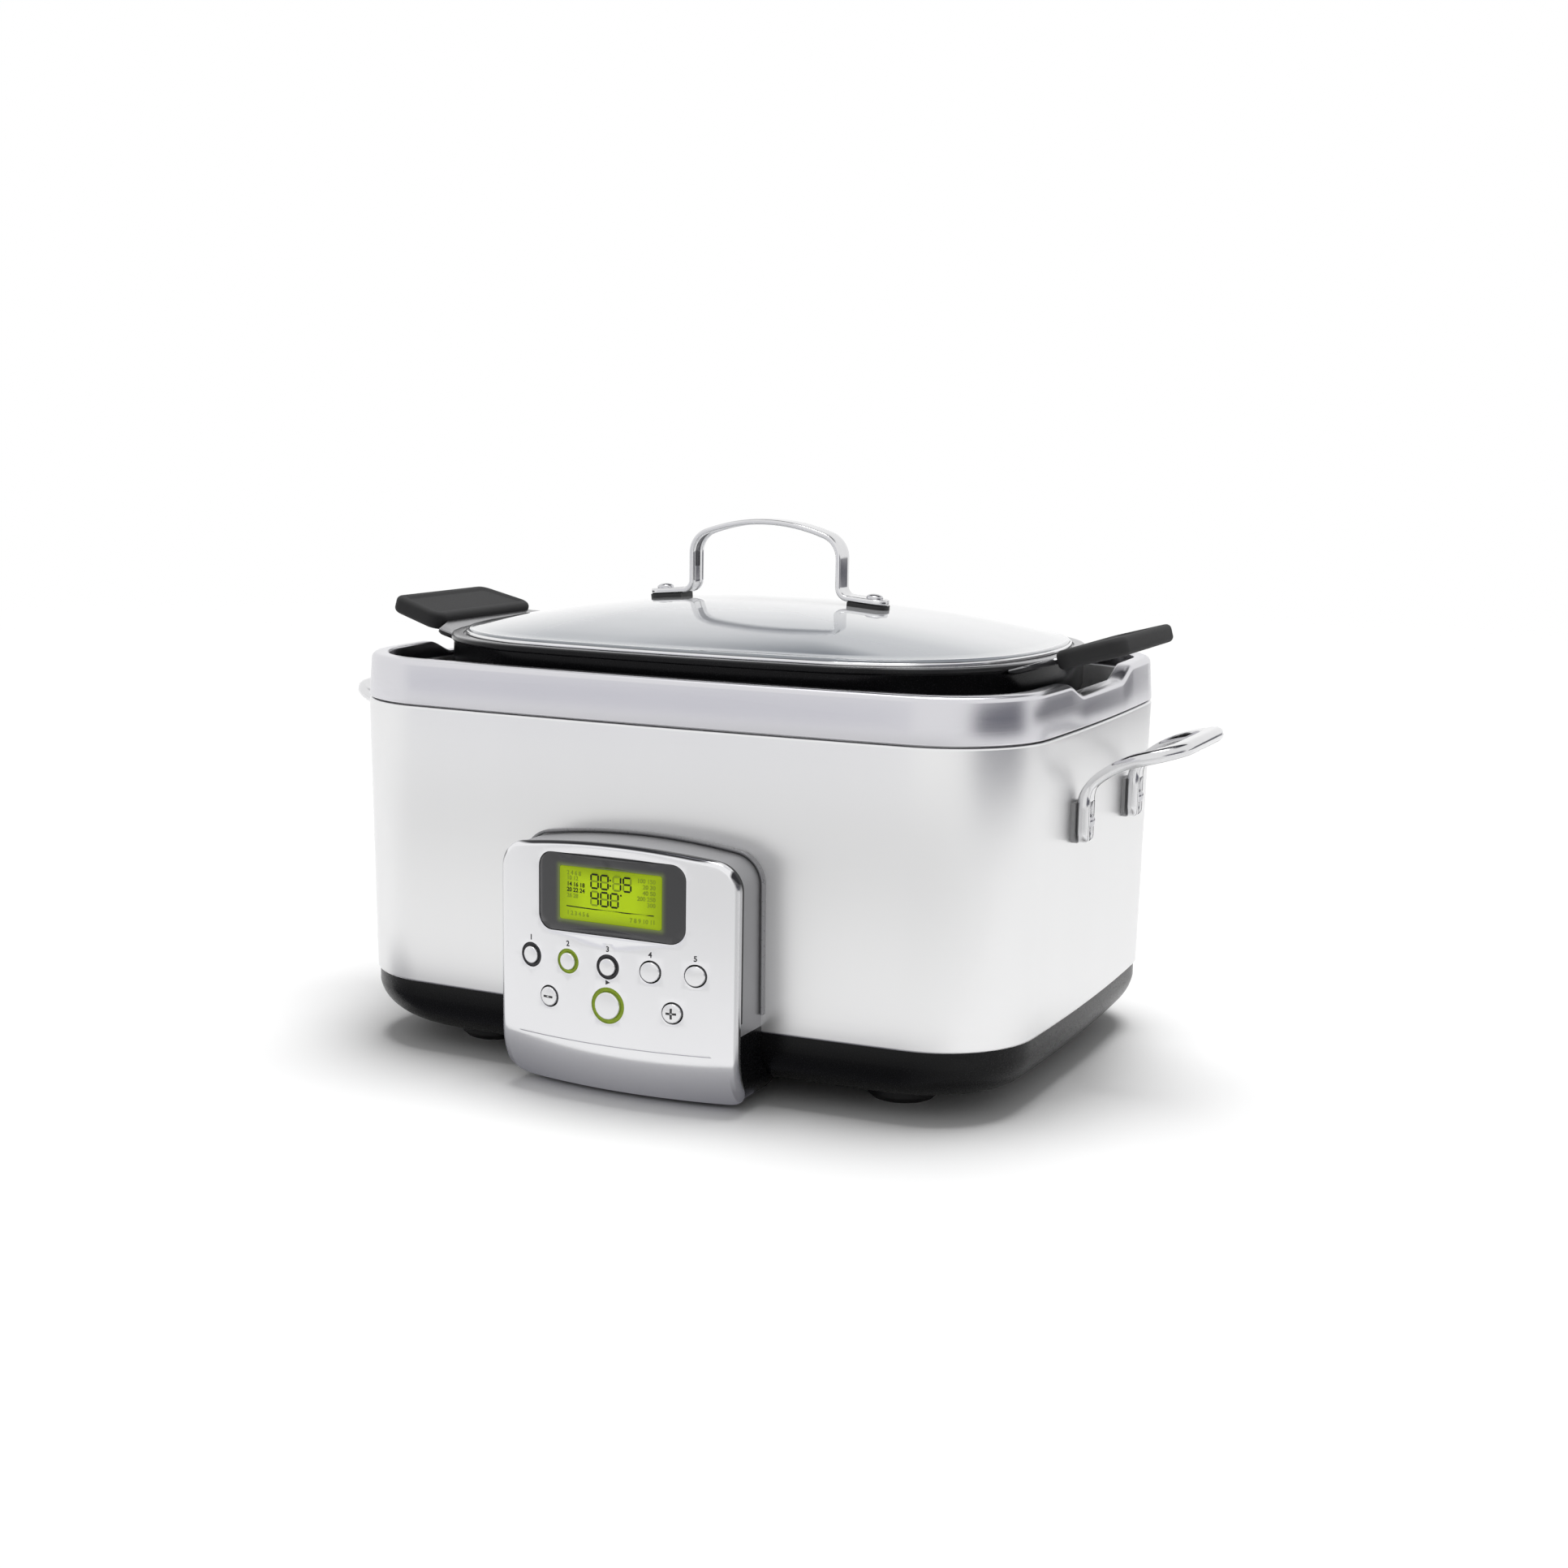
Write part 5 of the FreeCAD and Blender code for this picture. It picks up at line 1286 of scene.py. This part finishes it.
def crease(p):
    """Depth of the shallow line across the panel above its chin."""
    inside = abs(p.y - crease_level) < crease_width / 4
    return crease_depth * clamped((crease_half - abs(p.x)) / crease_fade) if inside else 0.0


def fascia_mesh():
    rim = [(panel_outline(-inset), depth) for inset, depth in round_edge(fascia_edge, 7)]
    rim += [(panel_outline(0), fascia_wall - 0.3), (panel_outline(-0.3), fascia_wall)]
    window_rows = [(window_chamfer, 0), (window_chamfer * 0.3, window_chamfer * 0.25), (hole_gap, window_chamfer),
                   (hole_gap, fascia_wall)]
    loops = [rim, rectangle_rows(window_low, window_high, window_corner, window_rows)]
    hole_rows = [(hole_chamfer, 0), (hole_chamfer * 0.3, hole_chamfer * 0.3), (0, hole_chamfer), (0, fascia_wall)]
    for name, (cap, ring) in buttons.items():
        radius = ring + hole_gap if ring else cap + button_gap
        loops.append([(circle(*button_place(name), radius + grow), depth) for grow, depth in hole_rows])
    columns = int(panel_half / fascia_pitch)
    grid = [(column * fascia_pitch, panel_bottom + row * fascia_pitch)
            for column in range(-columns, columns + 1) for row in range(1, 34)]
    grid = [p for p in grid if abs(p[1] - crease_level) > 2 * crease_width]
    for offset in (-1.6, -0.55, -0.2, 0.2, 0.55, 1.6):
        grid += [(column * 1.5, crease_level + offset) for column in range(-45, 46)]
    return curved_sheet(loops, grid, fascia_wall, crease)


def window_mesh():
    pane = [(-0.35, window_recess), (0, window_recess + 0.3), (0, window_depth)]
    opening = [(0.5, window_recess), (hole_gap, window_recess + 0.35), (hole_gap, window_depth)]
    loops = [
        rectangle_rows(window_low, window_high, window_corner, pane),
        rectangle_rows(lcd_low, lcd_high, lcd_corner, opening),
    ]
    grid = [(column * 4.0, window_low.z + row * 4.0) for column in range(-12, 13) for row in range(12)]
    return curved_sheet(loops, grid, window_depth)


def lcd_mesh():
    columns, rows = 20, 8
    grid = [(lcd_low.x + lcd_size.x * column / columns, lcd_low.z + lcd_size.z * row / rows)
            for column in range(1, columns) for row in range(1, rows)]
    back = lcd_recess + lcd_depth
    edge = rectangle_rows(lcd_low, lcd_high, lcd_corner, [(0, lcd_recess), (0, back)])
    return curved_sheet([edge], grid, back)


add_piece("fascia", fascia_mesh(), "fascia_silver", node="panel_fascia", look="fascia_face", sharp=40)
add_piece("window", window_mesh(), "bezel_black", node="display_bezel")
add_piece("lcd", lcd_mesh(), "lcd_glass", node="lcd_panel")


# Housing, trim and a dark seal behind the fascia, the seal partly painted shade

def shell_y(x, z):
    """Y of the shell's front at a place, allowing for its bow and taper."""
    taper = body_taper * (shell_top - z) / (shell_top - shell_bottom)
    return front_face + taper + x ** 2 / (2 * arc_radius(body_half_length - body_corner, long_bow))


def upper_path(grow):
    """Outline of the panel from its right side over the top to its left side, above the base."""
    return [p for p in panel_outline(grow) if p.y > housing_level + 1]


def housing_path(grow):
    ends = [Vector((side * (panel_half + grow), housing_level)) for side in (1, -1)]
    return ends[:1] + upper_path(grow) + ends[1:]


def housing_mesh():
    rings = []
    for p, q in zip(housing_path(-housing_setback), housing_path(-housing_setback - housing_wall)):
        front = fascia_y(p.x, p.y) + fascia_wall
        back = shell_y(p.x, p.y) + 0.2
        rings.append([Vector((r.x, y, r.y)) for r, y in (
            (p, front), (p, front + (back - front) * 0.5), (p, back), (q, back), (q, front))])
    return skin(rings)


def panel_frame(section, spot):
    """Bar round the panel from a section of (growth from the housing, level) points and where each lies."""
    paths = [upper_path(grow - housing_setback) for grow, level in section]
    return skin([[spot(p, level) for p, (grow, level) in zip(row, section)] for row in zip(*paths)])


# A dark rubber seal, partly real and partly painted shade: it stands in for the shade line between the fascia and
# the housing.
# The seal's levels are behind the fascia, and those of the trim, a bead, stand out from the shell
shade_seal_section = [(shade_seal_proud, -shade_seal_overlap), (shade_seal_proud, shade_seal_depth), (-shade_seal_inset, shade_seal_depth),
                (-shade_seal_inset, -shade_seal_overlap)]
shade_seal_mesh = panel_frame(shade_seal_section, lambda p, level: on_panel(p, fascia_wall + level))
trim_section = rounded([
    (trim_gap, -trim_root, 0),
    (trim_gap, trim_proud, trim_round),
    (trim_border, trim_proud, trim_round),
    (trim_border, -trim_root, 0),
])
trim_mesh = panel_frame(trim_section, lambda p, level: Vector((p.x, shell_y(p.x, p.y) - level, p.y)))
add_piece("panel_shade_seal", shade_seal_mesh, "gasket_rubber")
add_piece("housing", housing_mesh(), "housing_grey", node="panel_housing")
add_piece("trim", trim_mesh, "trim_dark", node="panel_trim")


# Light rings and buttons

def turned_rows(name, rows):
    """Rings round a button from (radius, depth) rows."""
    return [[on_panel(p, depth) for p in circle(*button_place(name), radius)] for radius, depth in rows]


def rings_mesh(names):
    parts = []
    for name in names:
        cap, ring = buttons[name]
        rows = [(cap + ring_edge, ring_recess + ring_edge), (cap + 2 * ring_edge, ring_recess),
                (ring - ring_edge, ring_recess), (ring, ring_recess + ring_edge), (ring, fascia_wall),
                (cap + ring_edge, fascia_wall)]
        parts.append(skin(turned_rows(name, rows), closed=True))
    return joined(*parts)


def cap_rise(share):
    return button_proud + button_dome * (1 - share ** 2)


def cap_mesh(name):
    """Domed cap with a round edge."""
    cap = buttons[name][0]
    rows = [(cap * share, -cap_rise(share)) for share in (0.04, 0.25, 0.45, 0.65, 0.8)]
    edge_rise = cap_rise((cap - button_edge) / cap)
    rows += [(cap - inset, depth - edge_rise) for inset, depth in round_edge(button_edge, 5)]
    return skin(turned_rows(name, rows + [(cap, fascia_wall)]))


def bar(x, z, width, height):
    corners = ((-1, -1), (1, -1), (1, 1), (-1, 1))
    return [Vector((x + side * width / 2, z + end * height / 2)) for side, end in corners]


def on_cap(loop, name):
    """Low raised mark on a domed cap."""
    middle = Vector(button_place(name))
    loop = divided(loop, 0.6)
    rises = [cap_rise(min((p - middle).length / buttons[name][0], 0.85)) for p in loop]
    return skin([[on_panel(p, -rise - raised) for p, rise in zip(loop, rises)]
                 for raised in (glyph_thickness, -glyph_root)])


add_piece("rings_unlit", rings_mesh(["button_mode_1", "button_mode_3"]), "ring_clear", node="light_rings")
add_piece("rings_lit", rings_mesh(["button_mode_2", "button_start"]), "ring_clear", look="ring_lit")
for name in buttons:
    add_piece("cap_" + name.replace("button_", ""), cap_mesh(name), "button_silver", name, name, sharp=50)
glyph_length, glyph_width = 5.6, 1.1
arm = (glyph_length - glyph_width) / 2
for name in ("button_minus", "button_plus"):
    x, z = button_place(name)
    strokes = [bar(x, z, glyph_length, glyph_width)]
    if name == "button_plus":
        strokes += [bar(x, z + side * (arm + glyph_width) / 2, glyph_width, arm) for side in (-1, 1)]
    add_piece("mark_" + name.replace("button_", ""), joined(*[on_cap(loop, name) for loop in strokes]),
              "component_black", name, look="glyph_dark")


# Marks on the display and the panel

def printed(loop, depth=0.0):
    return panel_prism(loop, depth - print_thickness, depth + print_root)


def numeral(text, x, z, height, depth=0.0, align="CENTER"):
    """Mesh of numerals, laid on the panel's curve at a depth."""
    cap_share = 0.7
    curve = bpy.data.curves.new("numeral", "FONT")
    curve.body = text
    curve.align_x = align
    curve.resolution_u = 3
    curve.size = height / cap_share
    curve.offset = numeral_weight * curve.size
    helper = bpy.data.objects.new("numeral", curve)
    mesh = helper.to_mesh()
    flat = [Vector((x + v.co.x, z + v.co.y)) for v in mesh.vertices]
    shapes = [tuple(p.vertices) for p in mesh.polygons]
    helper.to_mesh_clear()
    bpy.data.objects.remove(helper)
    bpy.data.curves.remove(curve)
    count = len(flat)
    points = [on_panel(p, depth + level) for level in (-print_thickness, print_root) for p in flat]
    faces = shapes + [tuple(i + count for i in reversed(shape)) for shape in shapes]
    uses = {}
    for shape in shapes:
        for a, b in zip(shape, shape[1:] + shape[:1]):
            uses.setdefault(frozenset((a, b)), []).append((a, b))
    for (a, b), *others in uses.values():
        if not others:
            faces.append((a, b, b + count, a + count))
    return points, faces


# Ends of a digit's seven segments in half heights, clockwise from the top and then the middle, and those lit
segment_ends = [((0, 2), (1, 2)), ((1, 1), (1, 2)), ((1, 0), (1, 1)), ((0, 0), (1, 0)), ((0, 0), (0, 1)),
                ((0, 1), (0, 2)), ((0, 1), (1, 1))]
digit_segments = {"0": (0, 1, 2, 3, 4, 5), "1": (1, 2), "4": (1, 2, 5, 6), "5": (0, 2, 3, 5, 6)}


def segment(start, stop, width):
    """Bar with pointed ends between two corners of a digit, kept short of them."""
    along = (stop - start).normalized()
    side = Vector((-along.y, along.x)) * width / 2
    first = start + along * width * 0.15
    last = stop - along * width * 0.15
    slope = along * width / 2
    return [first, first + slope - side, last - slope - side, last, last - slope + side, first + slope + side]


def on_lcd(across, up):
    return lcd_low.x + lcd_size.x * across, lcd_low.z + lcd_size.z * up


digit_width, digit_height, digit_stroke = 4.2, lcd_size.z * 0.255, 0.95
digit_pitch = 5.8
colon_gap = 1.4
dot = 0.9
digits_left = 0.325
time_up, heat_up = 0.655, 0.335
lit_loops, ghost_loops = [], []
for digits, up in (("0015", time_up), ("400", heat_up)):
    left, low = on_lcd(digits_left, up)
    for index, digit in enumerate(digits):
        corner = Vector((left + index * digit_pitch + (colon_gap if len(digits) == 4 and index > 1 else 0), low))
        for number, ends in enumerate(segment_ends):
            start, stop = [corner + Vector((u * digit_width, v * digit_height / 2)) for u, v in ends]
            loops = lit_loops if number in digit_segments[digit] else ghost_loops
            loops.append(segment(start, stop, digit_stroke))
time_left, time_low = on_lcd(digits_left, time_up)
heat_left, heat_low = on_lcd(digits_left, heat_up)
for share in (0.3, 0.7):
    lit_loops.append(bar(time_left + 2 * digit_pitch - 0.3, time_low + digit_height * share, dot, dot))
lit_loops.append(bar(heat_left + 3 * digit_pitch, heat_low + digit_height - 0.5, dot, dot))
lit_loops.append(divided(bar(0, on_lcd(0, 0.255)[1], lcd_size.x * 0.86, 0.55), 2.0))

# Plain numbers down both sides of the display and along its foot, each with its height and whether it is lit
legend_height = lcd_size.z * 0.078
legends = {
    ("LEFT", 0.075): [("2 4 6 8", 0.85, False), ("10 12", 0.755, False), ("14 16 18", 0.64, True),
                      ("20 22 24", 0.535, True), ("26 28", 0.425, False), ("1 2 3 4 5 6", 0.095, False)],
    ("RIGHT", 0.945): [("100 150", 0.845, False), ("20 30", 0.735, False), ("40 50", 0.625, False),
                       ("200 250", 0.515, False), ("300", 0.405, False), ("7 8 9 10 11", 0.095, False)],
}
texts = {True: [], False: []}
for (align, across), column in legends.items():
    for text, up, lit in column:
        texts[lit].append(numeral(text, *on_lcd(across, up), legend_height, lcd_recess, align))
lit_prints, ghost_prints = [[printed(loop, lcd_recess) for loop in loops] for loops in (lit_loops, ghost_loops)]
add_piece("lcd_digits", joined(*lit_prints, *texts[True]), "component_black", look="segment_dark")
add_piece("lcd_ghosts", joined(*ghost_prints, *texts[False]), "lcd_glass", look="segment_ghost")

labels = []
for index, name in enumerate(("button_mode_1", "button_mode_2", "button_mode_3", "button_time", "button_temp"), 1):
    x, z = button_place(name)
    cap, ring = buttons[name]
    labels.append(numeral(str(index), x, z + (ring or cap + button_gap) + 1.7, numeral_height))
x, z = button_place("button_start")
triangle = [(-1.1, 1.6), (1.5, 2.9), (-1.1, 4.2)]
labels.append(printed([Vector((x + across, z + start_ring + up)) for across, up in triangle]))
add_piece("panel_numerals", joined(*labels), "component_black", look="print_dark")


# Floor, light and camera

def add_stage(name, corners, material):
    """Flat object of the stage."""
    mesh = bpy.data.meshes.new(name)
    mesh.from_pydata(corners, [], [tuple(range(len(corners)))])
    mesh.materials.append(material)
    made = bpy.data.objects.new(name, mesh)
    bpy.context.scene.collection.objects.link(made)
    return made


def background_ray(nodes):
    """1 for rays that show the background: from the camera, in reflections and through glass."""
    path = nodes.node("ShaderNodeLightPath").outputs
    return nodes.math("MAXIMUM", path["Is Camera Ray"],
                      nodes.math("MAXIMUM", path["Is Glossy Ray"], path["Is Transmission Ray"]))


floor_radius = 3.2
floor_fade = (1.2, 3.0)
nodes = Nodes("floor_pale")
x, y, _ = nodes.split()
paper_tone = nodes.mix(background_ray(nodes), (0.80, 0.80, 0.80), (0.97, 0.97, 0.97))
paper = nodes.node("ShaderNodeBsdfDiffuse", {"Color": paper_tone})
clear = nodes.node("ShaderNodeBsdfTransparent")
fade = nodes.ramp(nodes.length(x, y), *floor_fade)
floor_look = nodes.show(nodes.node("ShaderNodeMixShader", {0: fade, 1: paper.outputs[0], 2: clear.outputs[0]}))
add_stage("floor", [(p.x, p.y, 0) for p in circle(0, 0, floor_radius, 96)], floor_look)

world_light = 0.38
nodes = Nodes("studio", world=True)
strength = nodes.ramp(background_ray(nodes), 0, 1, world_light, 1.0)
sky = nodes.node("ShaderNodeBackground", {"Color": (1, 1, 1), "Strength": strength})
bpy.context.scene.world = nodes.show(sky)

light = bpy.data.lights.new("overhead", "SUN")
light.energy = 2.2
light.angle = math.radians(32)
lamp = bpy.data.objects.new("overhead", light)
lamp.rotation_euler = Vector((0.0, -0.17, -1)).to_track_quat("-Z", "Y").to_euler()
bpy.context.scene.collection.objects.link(lamp)


def card(name, corners, colour, fades):
    """Card that only reflections see, fading to white from one share of its length on an axis to another."""
    nodes = Nodes(name)
    spot = nodes.split(nodes.node("ShaderNodeTexCoord").outputs["Generated"])
    cover = nodes.product(*[nodes.ramp(spot[axis], white, full) for axis, white, full in fades])
    glow = nodes.node("ShaderNodeEmission", {"Color": nodes.mix(cover, (1, 1, 1), colour)})
    board = add_stage(name, corners, nodes.show(glow))
    for ray in ("camera", "diffuse", "shadow", "transmission"):
        setattr(board, "visible_" + ray, False)


# Cards beyond the picture that metal reflects, and a dark card under the chin as painted shadow
card("card_right", [(0.47, 1.35, 0.03), (2.5, 1.35, 0.03), (2.5, 1.42, 0.28), (0.47, 1.42, 0.28)],
     (0.13, 0.13, 0.15), [("X", 0, 0.05), ("X", 1, 0.8), ("Z", 0, 0.2), ("Z", 1, 0.6)])
card("card_corner", [(1.9, -2.0, 0.004), (1.9, 0.9, 0.004), (2.1, 0.9, 0.8), (2.1, -2.0, 0.8)],
     (0.15, 0.15, 0.18), [("Y", 0, 0.3), ("Y", 1, 0.8), ("Z", 1, 0.4)])
card("card_above", [(-1.6, 0.1, 2.0), (1.5, 0.1, 2.0), (1.5, 2.4, 2.0), (-1.6, 2.4, 2.0)],
     (0.04, 0.04, 0.05), [("X", 0, 0.2), ("X", 1, 0.85), ("Y", 0, 0.2), ("Y", 1, 0.8)])
card("card_left", [(-2.6, -2.2, 0.004), (-0.2, -2.6, 0.004), (-0.2, -2.6, 0.9), (-2.6, -2.2, 0.9)],
     (0.78, 0.78, 0.82), [("X", 0, 0.2), ("X", 1, 0.8), ("Z", 1, 0.4)])
card("card_front", [(-1.4, -1.9, 0.003), (1.3, -1.9, 0.003), (1.3, -0.2, 0.003), (-1.4, -0.2, 0.003)],
     (0.78, 0.78, 0.78), [("X", 0, 0.3), ("X", 1, 0.7), ("Y", 0, 0.3), ("Y", 1, 0.7)])
# Painted shadow: a dark card on the floor under the chin, seen only in reflections, stands in for the floor's
# shade there.
card("card_chin_shadow", [(-0.34, -0.12, 0.002), (0.22, -0.12, 0.002), (0.22, -0.30, 0.002), (-0.34, -0.30, 0.002)],
     (0.15, 0.15, 0.17), [("X", 0, 0.2), ("X", 1, 0.85), ("Y", 0, 0.9)])

azimuth, elevation, roll = math.radians(24.985), math.radians(9.422), math.radians(0.915)
distance = 1.2774
look_at = Vector((0.011985, body_shift.y, 0.14347))
away = Vector((math.sin(azimuth) * math.cos(elevation), -math.cos(azimuth) * math.cos(elevation),
               math.sin(elevation)))
level_right = upward.cross(away).normalized()
level_up = away.cross(level_right)
right = level_right * math.cos(roll) + level_up * math.sin(roll)
above = level_up * math.cos(roll) - level_right * math.sin(roll)
lens = bpy.data.cameras.new("camera")
lens.sensor_width = 36
lens.lens = 50.94
camera = bpy.data.objects.new("camera", lens)
turned = Matrix((right, above, away)).transposed().to_4x4()
camera.matrix_world = Matrix.Translation(look_at + away * distance) @ turned
bpy.context.scene.collection.objects.link(camera)
bpy.context.scene.camera = camera
bpy.context.scene.view_settings.view_transform = "Standard"
